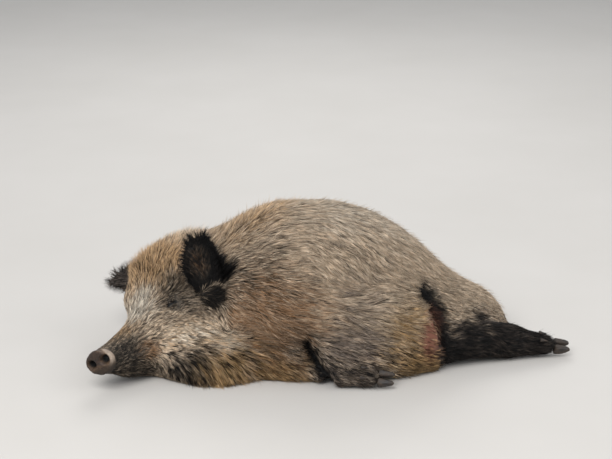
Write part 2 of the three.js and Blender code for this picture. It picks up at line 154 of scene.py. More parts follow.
@dataclass(frozen=True)
class HeadFrame:
    """The head's frame, in mm: origin at the nose disc, +x back along the skull, -y her left, +z up."""

    turn: float = 42.0
    pitch: float = 4.0
    roll: float = 22.0
    eye: tuple[float, float, float] = (226.0, 64.0, 60.0)

    def axes(self) -> Array:
        """The frame's axes as the columns of a matrix."""
        angles = (math.radians(-self.roll), math.radians(-self.pitch), math.radians(self.turn))
        return np.array(Euler(angles, "XYZ").to_matrix())

    def origin(self) -> Array:
        """The frame's origin, found from the two eyes."""
        left, right = (middle_of(node) for node in EYES)
        between = np.array((left + right) / 2)
        return between - self.axes() @ (np.array([self.eye[0], 0.0, self.eye[2]]) * MM)

    def local(self, p: Array) -> Array:
        """Places in the head's frame, in mm."""
        return (p - self.origin()) @ self.axes() / MM

    def world(self, q: Array) -> Array:
        """Places given in the head's frame in mm, in the row frame in metres."""
        return q * MM @ self.axes().T + self.origin()

    def eye_at(self, side: int, out: float = 0.0) -> Array:
        """The middle of one eye in the head's frame, or a place that far out from it."""
        return np.array([self.eye[0], side * (self.eye[1] + out), self.eye[2]])


@dataclass(frozen=True)
class EarFrame:
    """An ear's frame, in the head's mm: root at the origin, +z to the tip, hollow side towards +y."""

    node: str
    root: tuple[float, float, float]
    tip: tuple[float, float, float]
    facing: tuple[float, float, float]

    def axes(self) -> Array:
        """The frame's axes as the columns of a matrix."""
        z = unit(np.array(self.tip))
        x = unit(np.cross(np.array(self.facing), z))
        return np.stack([x, np.cross(z, x), z], axis=1)

    def local(self, q: Array) -> Array:
        """Places of the head's frame in the ear's frame."""
        return (q - np.array(self.root)) @ self.axes()

    def head(self, e: Array) -> Array:
        """Places of the ear's frame in the head's frame."""
        return e @ self.axes().T + np.array(self.root)


HEAD = HeadFrame()
EARS = (
    EarFrame("ear_left", (284.0, -158.0, 60.0), (0.09, -0.04, 1.0), (-0.83, -0.54, 0.21)),
    EarFrame("ear_right", (335.0, 66.0, 104.0), (-0.24, 0.82, 0.3), (-0.32, -0.09, 0.94)),
)


@dataclass(frozen=True)
class Fold:
    """A deep crease down each flank, darkened with painted shade: its line and ragged edge in metres, its
    sizes in mm, and how far its painted shade reaches, in widths.
    """

    line: tuple[tuple[float, float], ...]
    width: float
    depth: float
    overhang: float
    ragged: float
    shade: float

    def away(self, p: Array) -> Array:
        """How far each place lies from the crease; the middle of the body counts as far off.

        Args:
            p: Places in the row frame, in metres.

        Returns:
            The distances in mm.
        """
        seen = p[:, [0, 2]]
        nearest = np.full(len(p), np.inf)
        for start, end in itertools.pairwise(np.array(self.line)):
            way = end - start
            t = np.clip((seen - start) @ way / (way @ way), 0.0, 1.0)[:, None]
            nearest = np.minimum(nearest, np.linalg.norm(seen - start - t * way, axis=1))
        ragged = self.ragged * (mottle(p, 0.012, 14) - 0.5)
        inside = 0.2 * fade(0.12, 0.17, np.abs(p[:, 1]))
        return np.maximum(nearest + ragged + inside, 0.0) / MM

    def near(self, p: Array, reach: Array | float = 1.0) -> Array:
        """1 in the crease and 0 a few widths off."""
        return fade(0.3 * reach, 1.5 * reach, self.away(p) / self.width)


BEHIND_ELBOW = Fold(
    line=((-0.092, 0.124), (-0.079, 0.094), (-0.062, 0.061), (-0.047, 0.038), (-0.028, 0.0)),
    width=13.0,
    depth=17.0,
    overhang=4.0,
    ragged=0.004,
    shade=1.8,
)
BEFORE_THIGH = Fold(
    line=((0.200, 0.236), (0.226, 0.200), (0.253, 0.155), (0.270, 0.107), (0.278, 0.0)),
    width=10.0,
    depth=14.0,
    overhang=9.0,
    ragged=0.008,
    shade=1.5,
)
FOLDS = (BEHIND_ELBOW, BEFORE_THIGH)


# ---------------------------------------------------------------- shader bench


class Ink:
    """A shader socket that takes part in arithmetic on numbers."""

    def __init__(self, bench: "Bench", socket: bpy.types.NodeSocket) -> None:
        """Wraps a socket of the bench's material."""
        self.bench = bench
        self.socket = socket

    def __add__(self, other: "Ink | float") -> "Ink":
        """Sum."""
        return self.bench.math("ADD", self, other)

    def __sub__(self, other: "Ink | float") -> "Ink":
        """Difference."""
        return self.bench.math("SUBTRACT", self, other)

    def __rsub__(self, other: float) -> "Ink":
        """Difference from a number."""
        return self.bench.math("SUBTRACT", other, self)

    def __mul__(self, other: "Ink | float") -> "Ink":
        """Product."""
        return self.bench.math("MULTIPLY", self, other)

    __radd__ = __add__
    __rmul__ = __mul__

    def held(self) -> "Ink":
        """The number kept between 0 and 1."""
        return self.bench.math("ADD", self, 0.0, clamp=True)


@dataclass
class Bench:
    """A material being made, with the tools that add its nodes."""

    name: str
    material: bpy.types.Material = field(init=False)

    def __post_init__(self) -> None:
        """Starts an empty material."""
        self.material = bpy.data.materials.new(self.name)
        self.material.use_nodes = True
        self.material.node_tree.nodes.clear()

    def node(self, kind: str, settings: dict | None = None, inputs: dict | None = None) -> bpy.types.Node:
        """Adds a node.

        Args:
            kind: The node's type.
            settings: Its properties, set first.
            inputs: Values or links by socket name or number.

        Returns:
            The node.
        """
        made = self.material.node_tree.nodes.new(kind)
        for key, value in (settings or {}).items():
            setattr(made, key, value)
        for key, value in (inputs or {}).items():
            socket = made.inputs[key]
            if isinstance(value, Ink):
                self.material.node_tree.links.new(value.socket, socket)
            elif isinstance(value, tuple) and len(value) == 3 and socket.type == "RGBA":
                socket.default_value = (*value, 1.0)
            else:
                socket.default_value = value
        return made

    def ink(self, node: bpy.types.Node, output: str | int = 0) -> Ink:
        """One output of a node."""
        return Ink(self, node.outputs[output])

    def math(self, operation: str, a: Ink | float, b: Ink | float, clamp: bool = False) -> Ink:
        """Arithmetic on two numbers."""
        settings = {"operation": operation, "use_clamp": clamp}
        return self.ink(self.node("ShaderNodeMath", settings, {0: a, 1: b}))

    def blend(self, share: Ink | float, a: Ink | tuple, b: Ink | tuple, way: str = "MIX") -> Ink:
        """A colour mixed from two."""
        settings = {"data_type": "RGBA", "blend_type": way}
        return self.ink(self.node("ShaderNodeMix", settings, {0: share, 6: a, 7: b}), 2)

    def noise(self, scale: float, detail: float = 3.0, roughness: float = 0.6) -> Ink:
        """Cloudy noise fixed to the object."""
        place = self.ink(self.node("ShaderNodeTexCoord"), "Object")
        inputs = {"Vector": place, "Scale": scale, "Detail": detail, "Roughness": roughness}
        return self.ink(self.node("ShaderNodeTexNoise", inputs=inputs), 0)

    def channels(self, attribute: str) -> tuple[Ink, Ink, Ink, Ink]:
        """The four numbers stored in one colour attribute."""
        stored = self.node("ShaderNodeAttribute", {"attribute_name": attribute})
        parts = self.node("ShaderNodeSeparateColor", inputs={0: self.ink(stored, "Color")})
        return (*(self.ink(parts, i) for i in range(3)), self.ink(stored, "Alpha"))

    def bump(self, height: Ink, strength: float, distance: float) -> Ink:
        """A normal raised by a height."""
        inputs = {"Height": height, "Strength": strength, "Distance": distance}
        return self.ink(self.node("ShaderNodeBump", inputs=inputs))

    def finish(self, inputs: dict) -> bpy.types.Material:
        """Closes the material with the main shader."""
        shader = self.node("ShaderNodeBsdfPrincipled", inputs=inputs)
        self.node("ShaderNodeOutputMaterial", inputs={"Surface": self.ink(shader)})
        return self.material


# ---------------------------------------------------------------- markings


Colour = tuple[float, float, float]


def tone(red: int, green: int, blue: int) -> Colour:
    """A linear colour from everyday 0 to 255 values."""
    shares = (red / 255, green / 255, blue / 255)
    return tuple(((c + 0.055) / 1.055) ** 2.4 if c > 10 / 255 else c / 12.92 for c in shares)


@dataclass(frozen=True)
class Dye:
    """A marking's colours: under the coat, and at the tips of the hair."""

    root: Colour
    tip: Colour


class Mark(Enum):
    """Each marking and its dye, in the order they are laid on."""

    STRAW = Dye(tone(30, 21, 12), tone(208, 174, 124))
    RUST = Dye(tone(34, 22, 13), tone(184, 142, 102))
    OCHRE = Dye(tone(44, 30, 18), tone(228, 192, 146))
    PALE = Dye(tone(78, 70, 60), tone(250, 241, 224))
    # Dust on the coat; where it lies under the dark of the hind legs and on the far ear it is painted
    # sheen instead.
    DUST_AND_SHEEN = Dye(tone(56, 50, 46), tone(158, 145, 134))
    DARK = Dye(tone(3, 3, 3), tone(18, 15, 15))
    BARE = Dye(tone(114, 70, 55), tone(174, 122, 99))
    NOSE = Dye(tone(18, 12, 9), tone(118, 88, 68))

    @property
    def column(self) -> int:
        """Its place in a row of shares."""
        return list(Mark).index(self)


GREY_BROWN = Dye(tone(36, 28, 21), tone(243, 223, 197))


@dataclass(frozen=True)
class Patch:
    """A soft patch of one marking: its middle and half sizes, its strength, and the most it covers."""

    mark: Mark
    middle: tuple[float, float, float]
    radii: tuple[float, float, float]
    strength: float
    most: float = 1.0

    def over(self, p: Array, side: int = 1) -> Array:
        """How far the patch covers each place, with its middle on the given side."""
        x, y, z = self.middle
        return np.minimum(blob(p, (x, side * y, z), self.radii) * self.strength, self.most)


@dataclass
class Layers:
    """How far each marking covers each place, from 0 to 1."""

    count: int
    shares: dict[Mark, Array] = field(init=False)

    def __post_init__(self) -> None:
        """Starts with no marking anywhere."""
        self.shares = {mark: np.zeros(self.count) for mark in Mark}

    def lay(self, mark: Mark, share: Array) -> None:
        """Lays a marking where there is less of it so far."""
        self.shares[mark] = np.maximum(self.shares[mark], share)

    def lay_all(self, other: "Layers", share: Array) -> None:
        """Lays every marking of other layers, at a share of their strength."""
        for mark, covered in other.shares.items():
            self.lay(mark, covered * share)


@dataclass(frozen=True)
class Markings:
    """Where each marking lies, in places of the head's frame (mm) and of the row frame (m)."""

    head_middle: tuple[Patch, ...] = (
        Patch(Mark.PALE, (164, -4, 72), (60, 48, 42), 0.98),
        Patch(Mark.PALE, (182, -6, 92), (44, 38, 30), 0.98),
        Patch(Mark.OCHRE, (262, 0, 150), (100, 120, 84), 0.9),
        Patch(Mark.OCHRE, (92, 0, 40), (62, 36, 26), 0.7),
        Patch(Mark.DARK, (78, 0, -66), (104, 80, 46), 0.85),
    )
    head_sides: tuple[Patch, ...] = (
        Patch(Mark.PALE, (200, 112, -14), (92, 70, 30), 0.68),
        Patch(Mark.PALE, (236, 176, -56), (54, 54, 26), 0.68),
        Patch(Mark.PALE, (98, 50, -14), (16, 13, 10), 0.4),
        Patch(Mark.OCHRE, (200, 112, -14), (92, 70, 30), 0.75),
        Patch(Mark.OCHRE, (236, 176, -56), (54, 54, 26), 0.75),
        Patch(Mark.DARK, (158, 108, -78), (74, 62, 40), 0.78),
        Patch(Mark.DARK, (280, 156, 74), (46, 54, 52), 2.1, most=0.98),
        Patch(Mark.DARK, (236, 90, 60), (48, 36, 30), 0.60),
        Patch(Mark.DARK, (200, 60, 68), (22, 18, 18), 0.45),
        Patch(Mark.DARK, (260, 118, 36), (40, 34, 26), 0.5),
        Patch(Mark.DARK, (236, 79, 86), (50, 42, 36), 0.64),
        Patch(Mark.RUST, (108, 53, -16), (36, 26, 26), 0.8),
        Patch(Mark.STRAW, (215, 190, -110), (100, 110, 80), 0.9),
    )
    body_middle: tuple[Patch, ...] = (
        Patch(Mark.OCHRE, (-0.24, 0.04, 0.36), (0.20, 0.10, 0.10), 0.6),
        Patch(Mark.PALE, (0.10, 0.0, 0.38), (0.24, 0.14, 0.08), 0.4),
    )
    body_sides: tuple[Patch, ...] = (
        Patch(Mark.STRAW, (0.17, -0.25, 0.10), (0.12, 0.12, 0.13), 0.7),
        Patch(Mark.STRAW, (-0.22, -0.20, 0.03), (0.16, 0.12, 0.09), 0.9),
        Patch(Mark.RUST, (-0.19, -0.17, 0.17), (0.19, 0.15, 0.14), 0.72),
        Patch(Mark.DUST_AND_SHEEN, (0.01, -0.25, 0.11), (0.085, 0.12, 0.10), 0.85),
        Patch(Mark.DUST_AND_SHEEN, (0.02, -0.22, 0.20), (0.07, 0.12, 0.12), 0.42),
        Patch(Mark.DARK, (-0.135, -0.22, 0.120), (0.060, 0.07, 0.060), 0.5),
        Patch(Mark.DARK, (-0.22, -0.17, 0.10), (0.07, 0.08, 0.045), 0.28),
        Patch(Mark.DARK, (-0.225, -0.12, 0.27), (0.1, 0.1, 0.07), 0.3),
        Patch(Mark.PALE, (-0.140, -0.22, 0.105), (0.034, 0.06, 0.034), 0.36),
        Patch(Mark.BARE, (0.222, -0.23, 0.114), (0.044, 0.06, 0.086), 1.0),
    )

    def on_head(self, q: Array) -> Layers:
        """Marks the head.

        Args:
            q: Places in the head's frame, in mm.

        Returns:
            The markings at each place.
        """
        layers = Layers(len(q))
        for patch in self.head_middle:
            layers.lay(patch.mark, patch.over(q))
        for side in SIDES:
            for patch in self.head_sides:
                layers.lay(patch.mark, patch.over(q, side))
            layers.lay(Mark.DARK, self.lids(q, side))
        muzzle = fade(72, 136, q[:, 0] + 0.25 * np.maximum(q[:, 2], 0.0))
        layers.lay(Mark.DARK, muzzle * (0.86 - 0.40 * smoothstep(12, 36, q[:, 2])))
        for mark in (Mark.PALE, Mark.OCHRE, Mark.DARK, Mark.RUST):
            layers.shares[mark] *= fade(330, 400, q[:, 0])
        return layers

    @staticmethod
    def lids(q: Array, side: int) -> Array:
        """The dark edges of the lids and the shade in their creases.

        Args:
            q: Places in the head's frame, in mm.
            side: Which eye.

        Returns:
            How dark each place is.
        """
        a, b, _ = Face.over_eye(q, side)
        above = b - Face.slit_line(a)
        edge = bell(above, 6.0, 0.5, power=4) * fade(14, 22, np.abs(a))
        bag = 0.5 * bell(above, 3.6, -7.0) * fade(9, 18, np.abs(a))
        crease = 0.8 * bell(above, 3.0, 12) * fade(10, 20, np.abs(a))
        near = fade(24, 34, np.linalg.norm(q - HEAD.eye_at(side), axis=1))
        return np.maximum.reduce([edge, bag, crease]) * near

    def on_body(self, p: Array) -> Layers:
        """Marks the trunk and neck.

        Args:
            p: Places in the row frame, in metres.

        Returns:
            The markings at each place.
        """
        layers = Layers(len(p))
        for patch in self.body_middle:
            layers.lay(patch.mark, patch.over(p))
        on_left = np.stack([p[:, 0], -np.abs(p[:, 1]), p[:, 2]], axis=1)
        for patch in self.body_sides:
            layers.lay(patch.mark, patch.over(on_left))
        flank = smoothstep(0.05, 0.16, p[:, 0]) * fade(0.25, 0.29, p[:, 0])
        layers.lay(Mark.STRAW, fade(0.06, 0.20, p[:, 2]) * flank)
        belly = 0.42 * fade(0.02, 0.09, p[:, 2]) * smoothstep(0.02, 0.10, p[:, 0])
        layers.lay(Mark.DARK, belly)
        return layers


class Bands:
    """The colour attributes that hold the markings, four to an attribute."""

    names = ("marks_front", "marks_back")

    @staticmethod
    def keep(mesh: bpy.types.Mesh, marks: Array) -> None:
        """Stores the markings at the mesh's vertices."""
        for i, name in enumerate(Bands.names):
            store(mesh, name, marks[:, 4 * i : 4 * i + 4])

    @staticmethod
    def share(bench: Bench, mark: Mark) -> Ink:
        """How far one marking covers a place, read back in a material."""
        return bench.channels(Bands.names[mark.column // 4])[mark.column % 4]

    @staticmethod
    def lay(bench: Bench, share: Ink) -> Ink:
        """Colours a material by the stored markings.

        Args:
            bench: The material.
            share: 0 under the coat and 1 at the tips.

        Returns:
            The colour.
        """
        shares = [ink for name in Bands.names for ink in bench.channels(name)]
        root: Ink | Colour = GREY_BROWN.root
        tip: Ink | Colour = GREY_BROWN.tip
        for mark, ink in zip(Mark, shares):
            root = bench.blend(ink, root, mark.value.root)
            tip = bench.blend(ink, tip, mark.value.tip)
        return bench.blend(share, root, tip)


# ---------------------------------------------------------------- finishes


@dataclass(frozen=True)
class CoatFinish:
    """Bristle: dark at the root, pale at the tip, each lock a little different."""

    roughness: float = 0.62
    shine: float = 0.24
    variety: float = 1.6
    blush: Colour = tone(238, 220, 204)

    def material(self) -> bpy.types.Material:
        """Dyes the hair by its markings, darker at the root.

        Returns:
            The coat's material.
        """
        bench = Bench("bristle")
        along, shade, warm, _ = bench.channels("strand")
        patch = bench.noise(26.0)
        share = (along * 0.78 + (shade - 0.5) * self.variety + (patch - 0.5) * 0.3 + 0.08).held()
        colour = Bands.lay(bench, share)
        colour = bench.blend(warm * 0.6, colour, self.blush, "MULTIPLY")
        rough = (along * 0.12 + self.roughness - 0.06).held()
        return bench.finish({"Base Color": colour, "Roughness": rough, "Specular IOR Level": self.shine})


@dataclass(frozen=True)
class SkinFinish:
    """Hide under the coat, and the bare leather of the nose."""

    roughness: float = 0.7
    shine: float = 0.4
    grain: float = 0.0012
    pore_scale: float = 520.0

    def material(self) -> bpy.types.Material:
        """Dyes the hide by its markings, streaked like flat hair, with pores on the nose.

        Returns:
            The skin's material.
        """
        bench = Bench("hide")
        nose = Bands.share(bench, Mark.NOSE)
        streak = bench.noise(240.0, 5.0, 0.7)
        cloud = bench.noise(38.0)
        pale = Bands.share(bench, Mark.PALE)
        share = (streak * 0.7 + cloud * 0.5 - 0.42 + pale * 0.3).held()
        colour = Bands.lay(bench, share)
        rough = (self.roughness - nose * 0.28 + (streak - 0.5) * 0.2).held()
        pores = self.pores(bench)
        height = pores * (nose * 0.8 + 0.2) + streak * 0.6
        normal = bench.bump(height, 0.6, self.grain)
        inputs = {"Base Color": colour, "Roughness": rough, "Normal": normal}
        return bench.finish(inputs | {"Specular IOR Level": self.shine})

    def pores(self, bench: Bench) -> Ink:
        """The grain of thick skin."""
        place = bench.ink(bench.node("ShaderNodeTexCoord"), "Object")
        inputs = {"Vector": place, "Scale": self.pore_scale}
        return bench.ink(bench.node("ShaderNodeTexVoronoi", inputs=inputs), "Distance")


@dataclass(frozen=True)
class EyeFinish:
    """A wet dark eye."""

    deep: Colour = tone(9, 6, 5)
    brown: Colour = tone(26, 17, 12)
    roughness: float = 0.5
    shine: float = 0.2

    def material(self) -> bpy.types.Material:
        """Clouds dark brown over near black.

        Returns:
            The eye's material.
        """
        bench = Bench("wet_eye")
        inputs = {"Roughness": self.roughness, "Specular IOR Level": self.shine}
        colour = bench.blend(bench.noise(160.0), self.deep, self.brown)
        return bench.finish({"Base Color": colour} | inputs)


@dataclass(frozen=True)
class HoofFinish:
    """Dark horn with growth rings and dried mud."""

    dark: Colour = tone(14, 12, 11)
    light: Colour = tone(44, 37, 32)
    mud: Colour = tone(74, 61, 50)
    roughness: float = 0.42
    relief: float = 0.0015

    def material(self) -> bpy.types.Material:
        """Rings the horn and dabs mud on it.

        Returns:
            The hooves' material.
        """
        bench = Bench("horn")
        rings = bench.noise(210.0, 4.0, 0.75)
        mud = (bench.noise(70.0, 4.0) * 2.6 - 0.95).held()
        horn = bench.blend(rings, self.dark, self.light)
        colour = bench.blend(mud, horn, self.mud)
        normal = bench.bump(rings + mud * 0.5, 0.5, self.relief)
        rough = (mud * 0.35 + self.roughness).held()
        return bench.finish({"Base Color": colour, "Roughness": rough, "Normal": normal})


@dataclass(frozen=True)
class FloorFinish:
    """A plain pale floor."""

    dim: Colour = tone(196, 192, 186)
    bright: Colour = tone(206, 202, 197)
    roughness: float = 0.85

    def material(self) -> bpy.types.Material:
        """The floor's material."""
        bench = Bench("pale_floor")
        colour = bench.blend(bench.noise(1.6), self.dim, self.bright)
        return bench.finish({"Base Color": colour, "Roughness": self.roughness})


# ---------------------------------------------------------------- meshes as arrays


def coords(mesh: bpy.types.Mesh) -> Array:
    """The mesh's vertices, n by 3."""
    flat = np.empty(len(mesh.vertices) * 3, np.float32)
    mesh.vertices.foreach_get("co", flat)
    return flat.reshape(-1, 3).astype(float)


def set_coords(mesh: bpy.types.Mesh, p: Array) -> None:
    """Moves the mesh's vertices."""
    mesh.vertices.foreach_set("co", p.astype(np.float32).ravel())
    mesh.update()


def normals(mesh: bpy.types.Mesh) -> Array:
    """The vertices' normals, n by 3."""
    flat = np.empty(len(mesh.vertices) * 3, np.float32)
    mesh.vertex_normals.foreach_get("vector", flat)
    return flat.reshape(-1, 3).astype(float)


def edges(mesh: bpy.types.Mesh) -> Array:
    """The ends of the mesh's edges, n by 2."""
    flat = np.empty(len(mesh.edges) * 2, np.int32)
    mesh.edges.foreach_get("vertices", flat)
    return flat.reshape(-1, 2)


def triangles(mesh: bpy.types.Mesh) -> Array:
    """Divides the mesh's faces.

    Args:
        mesh: The mesh.

    Returns:
        The corners of its triangles, n by 3.
    """
    mesh.calc_loop_triangles()
    flat = np.empty(len(mesh.loop_triangles) * 3, np.int32)
    mesh.loop_triangles.foreach_get("vertices", flat)
    return flat.reshape(-1, 3)


def diffused(values: Array, ends: Array, steps: int, rate: Array | float = 0.5) -> Array:
    """Values spread between neighbouring vertices.

    Args:
        values: One row for each vertex.
        ends: The edges' ends.
        steps: How often to average.
        rate: How far each vertex moves towards its neighbours' mean at each step.

    Returns:
        The spread values.
    """
    v = np.array(values, float).reshape(len(values), -1)
    count = np.maximum(np.bincount(ends.ravel(), minlength=len(v)), 1)[:, None]
    share = np.full((len(v), 1), rate) if np.isscalar(rate) else np.asarray(rate).reshape(-1, 1)
    one, other = ends.T
    for _ in range(steps):
        sums = [
            np.bincount(one, c[other], len(v)) + np.bincount(other, c[one], len(v)) for c in v.T
        ]
        v += share * (np.stack(sums, axis=1) / count - v)
    return v.reshape(np.shape(values))


def smooth_shaded(mesh: bpy.types.Mesh) -> None:
    """Shades all the mesh's faces smooth."""
    mesh.polygons.foreach_set("use_smooth", np.ones(len(mesh.polygons), bool))


def new_object(
    name: str, mesh: bpy.types.Mesh, finish: bpy.types.Material | None = None
) -> bpy.types.Object:
    """Adds an object to the scene, at the origin.

    Args:
        name: Its name.
        mesh: Its mesh.
        finish: Its material, if it stays.

    Returns:
        The object.
    """
    made = bpy.data.objects.new(name, mesh)
    bpy.context.scene.collection.objects.link(made)
    if finish:
        mesh.materials.append(finish)
    return made


def cad_copy(names: Sequence[str], swell: float) -> bpy.types.Mesh:
    """The CAD nodes in one mesh, each with its surface moved out a little.

    Args:
        names: The nodes.
        swell: How far the surface moves, in metres.

    Returns:
        The mesh.
    """
    whole = bmesh.new()
    for name in names:
        part = bmesh.new()
        part.from_mesh(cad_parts[name].data)
        bmesh.ops.remove_doubles(part, verts=part.verts, dist=1e-5)
        part.normal_update()
        for v in part.verts:
            v.co += v.normal * swell
        piece = bpy.data.meshes.new(name + "_copy")
        part.to_mesh(piece)
        part.free()
        whole.from_mesh(piece)
    mesh = bpy.data.meshes.new("flesh")
    whole.to_mesh(mesh)
    whole.free()
    return mesh


def applied(obj: bpy.types.Object) -> bpy.types.Mesh:
    """Applies an object's modifiers and removes the object.

    Args:
        obj: The object.

    Returns:
        The finished mesh.
    """
    mesh = bpy.data.meshes.new_from_object(obj.evaluated_get(bpy.context.evaluated_depsgraph_get()))
    bpy.data.objects.remove(obj)
    return mesh


def store(mesh: bpy.types.Mesh, name: str, values: Array) -> None:
    """Keeps four numbers a vertex in a colour attribute."""
    held = mesh.color_attributes.new(name, "FLOAT_COLOR", "POINT")
    held.data.foreach_set("color", values.astype(np.float32).ravel())


# ---------------------------------------------------------------- regions of the hide


@dataclass(frozen=True)
class Growth:
    """How the coat grows on a region, in mm."""

    length: float
    depth: float
    width: float
    spacing: float
    smooth: float


class Region(Enum):
    """The regions of the hide and the growth of the coat on each."""

    NOSE = Growth(2.0, 0.4, 0.8, 9.0, 0.03)
    HEAD = Growth(27.0, 4.5, 1.25, 2.45, 0.34)
    JAW = Growth(16.0, 2.0, 1.1, 2.4, 0.26)
    NECK = Growth(60.0, 11.0, 1.7, 3.15, 1.0)
    TRUNK = Growth(52.0, 8.0, 1.5, 3.2, 1.0)
    THIGH = Growth(36.0, 6.0, 1.6, 3.3, 0.8)
    SHANK = Growth(24.0, 3.0, 1.4, 3.1, 0.3)
    EAR = Growth(17.0, 1.6, 1.2, 2.3, 0.16)
    TAIL = Growth(30.0, 3.0, 1.4, 2.8, 0.25)

    @property
    def column(self) -> int:
        """Its place in a row of shares."""
        return list(Region).index(self)

    @staticmethod
    def of(node: str) -> "Region | None":
        """Sorts a CAD node by its name.

        Args:
            node: The node.

        Returns:
            Its region, or None if it isn't flesh.
        """
        if "claw" in node or "hoof" in node or node.startswith("eye"):
            return None
        if node.endswith("_upper"):
            return Region.THIGH
        named = {"lower_jaw": Region.JAW, "ear_left": Region.EAR, "ear_right": Region.EAR}
        if node in named:
            return named[node]
        return Region.SHANK if "leg" in node else Region[node.upper()]


FLESH = [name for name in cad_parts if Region.of(name)]
CLAWS = [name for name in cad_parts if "hoof" in name or "dewclaw" in name]


@dataclass
class Skin:
    """The one skin over all her flesh, with lids, nostrils, lips and folds."""

    voxel: float = 0.0063
    swell: float = 0.0012
    rounds: int = 40
    ear_share: tuple[float, float, float] = (0.95, 0.8, 0.95)
    mesh: bpy.types.Mesh = field(init=False)
    shares: Array = field(init=False)
    node_of: Array = field(init=False)

    def build(self) -> bpy.types.Object:
        """Models the skin.

        Returns:
            The skin as an object.
        """
        self.mesh = self.remeshed()
        self.sort_regions()
        smooth = self.shares @ np.array([r.value.smooth for r in Region])
        ears = np.isin(self.node_of, [FLESH.index(ear.node) for ear in EARS])
        smooth = np.where(ears, Region.EAR.value.smooth, smooth)
        p = diffused(coords(self.mesh), edges(self.mesh), self.rounds, 0.5 * smooth)
        set_coords(self.mesh, p)
        self.refine(self.is_face)
        self.refine(self.is_fine)
        self.refine(self.by_eye)
        self.sort_regions()
        self.shrink()
        self.sculpt()
        self.rest_on_floor()
        smooth_shaded(self.mesh)
        return new_object("skin", self.mesh, SkinFinish().material())

    def remeshed(self) -> bpy.types.Mesh:
        """Melts the flesh and eyes together.

        Returns:
            One closed surface.
        """
        melt = new_object("melt", cad_copy([*FLESH, *EYES], self.swell))
        remesh = melt.modifiers.new("melt", "REMESH")
        remesh.mode = "VOXEL"
        remesh.voxel_size = self.voxel
        mesh = applied(melt)
        whole = bmesh.new()
        whole.from_mesh(mesh)
        self.keep_outside(whole)
        whole.to_mesh(mesh)
        whole.free()
        return mesh

    @staticmethod
    def keep_outside(whole: bmesh.types.BMesh) -> None:
        """Drops any closed pocket, leaving the largest shell.

        Args:
            whole: The melted flesh.
        """
        whole.verts.ensure_lookup_table()
        seen, shells = set(), []
        for start in whole.verts:
            if start in seen:
                continue
            shell, front = [], [start]
            seen.add(start)
            while front:
                v = front.pop()
                shell.append(v)
                for edge in v.link_edges:
                    other = edge.other_vert(v)
                    if other not in seen:
                        seen.add(other)
                        front.append(other)
            shells.append(shell)
        shells.sort(key=len)
        lost = [v for shell in shells[:-1] for v in shell]
        bmesh.ops.delete(whole, geom=lost, context="VERTS")

    def sort_regions(self) -> None:
        """Finds which CAD node each vertex came from, and spreads the regions into each other."""
        corners, faces, owners = [], [], []
        for i, name in enumerate(FLESH):
            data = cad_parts[name].data
            start = len(corners)
            corners += [v.co.copy() for v in data.vertices]
            faces += [[start + k for k in polygon.vertices] for polygon in data.polygons]
            owners += [i] * len(data.polygons)
        tree = BVHTree.FromPolygons(corners, faces)
        nearest = [tree.find_nearest(v.co)[2] for v in self.mesh.vertices]
        self.node_of = np.array(owners)[nearest]
        region = np.array([Region.of(name).column for name in FLESH])[self.node_of]
        self.shares = diffused(np.eye(len(Region))[region], edges(self.mesh), 14)

    @staticmethod
    def is_face(q: Array) -> Array:
        """Which places of the head lie in front of the ears."""
        return (q[:, 0] < 330) & (np.abs(q[:, 1]) < 200) & (q[:, 2] > -150)

    @classmethod
    def is_fine(cls, q: Array) -> Array:
        """Where the hide has fine modelling: snout and eyes."""
        return (q[:, 0] < 46) | cls.by_eye(q, 40.0)

    @staticmethod
    def by_eye(q: Array, reach: float = 24.0) -> Array:
        """Which places lie within reach of either eye's lids."""
        return np.min([from_lids(q, side) for side in SIDES], axis=0) < reach

    def refine(self, where: Callable[[Array], Array]) -> None:
        """Halves the facets of part of the head, and rounds them.

        Args:
            where: Tells which places of the head's frame are in that part.
        """
        whole = bmesh.new()
        whole.from_mesh(self.mesh)
        p = np.array([v.co for v in whole.verts])
        chosen = where(HEAD.local(p)) & (p[:, 2] > 0.003)
        picked = [e for e in whole.edges if chosen[e.verts[0].index] and chosen[e.verts[1].index]]
        bmesh.ops.subdivide_edges(whole, edges=picked, cuts=1, use_grid_fill=True)
        whole.to_mesh(self.mesh)
        whole.free()
        p = coords(self.mesh)
        soft = np.where(where(HEAD.local(p)), 0.5, 0.0)
        set_coords(self.mesh, diffused(p, edges(self.mesh), 3, soft))

    def shrink(self) -> None:
        """Draws the skin in by the depth of the coat, and the ears in by their fringe."""
        p = coords(self.mesh)
        depth = coat_depth(self.shares, p) + sum(fold.depth * fold.near(p) for fold in FOLDS)
        p = p - normals(self.mesh) * (depth * MM)[:, None]
        q = HEAD.local(p)
        for ear in EARS:
            mine = diffused((self.node_of == FLESH.index(ear.node)).astype(float), edges(self.mesh), 3)
            e = ear.local(q)
            drawn = e * self.ear_share
            past = smoothstep(10, 50, e[:, 2]) * mine
            q = ear.head(e + (drawn - e) * past[:, None])
        set_coords(self.mesh, HEAD.world(q))

    def sculpt(self) -> None:
        """Models the face."""
        q = HEAD.local(coords(self.mesh))
        q = Face().model(q, normals(self.mesh) @ HEAD.axes())
        set_coords(self.mesh, HEAD.world(q))

    def rest_on_floor(self) -> None:
        """Flattens what would sink into the floor."""
        p = coords(self.mesh)
        p[:, 2] = np.maximum(p[:, 2], 0.0)
        set_coords(self.mesh, np.clip(p, CAD_BOX[0], CAD_BOX[1]))


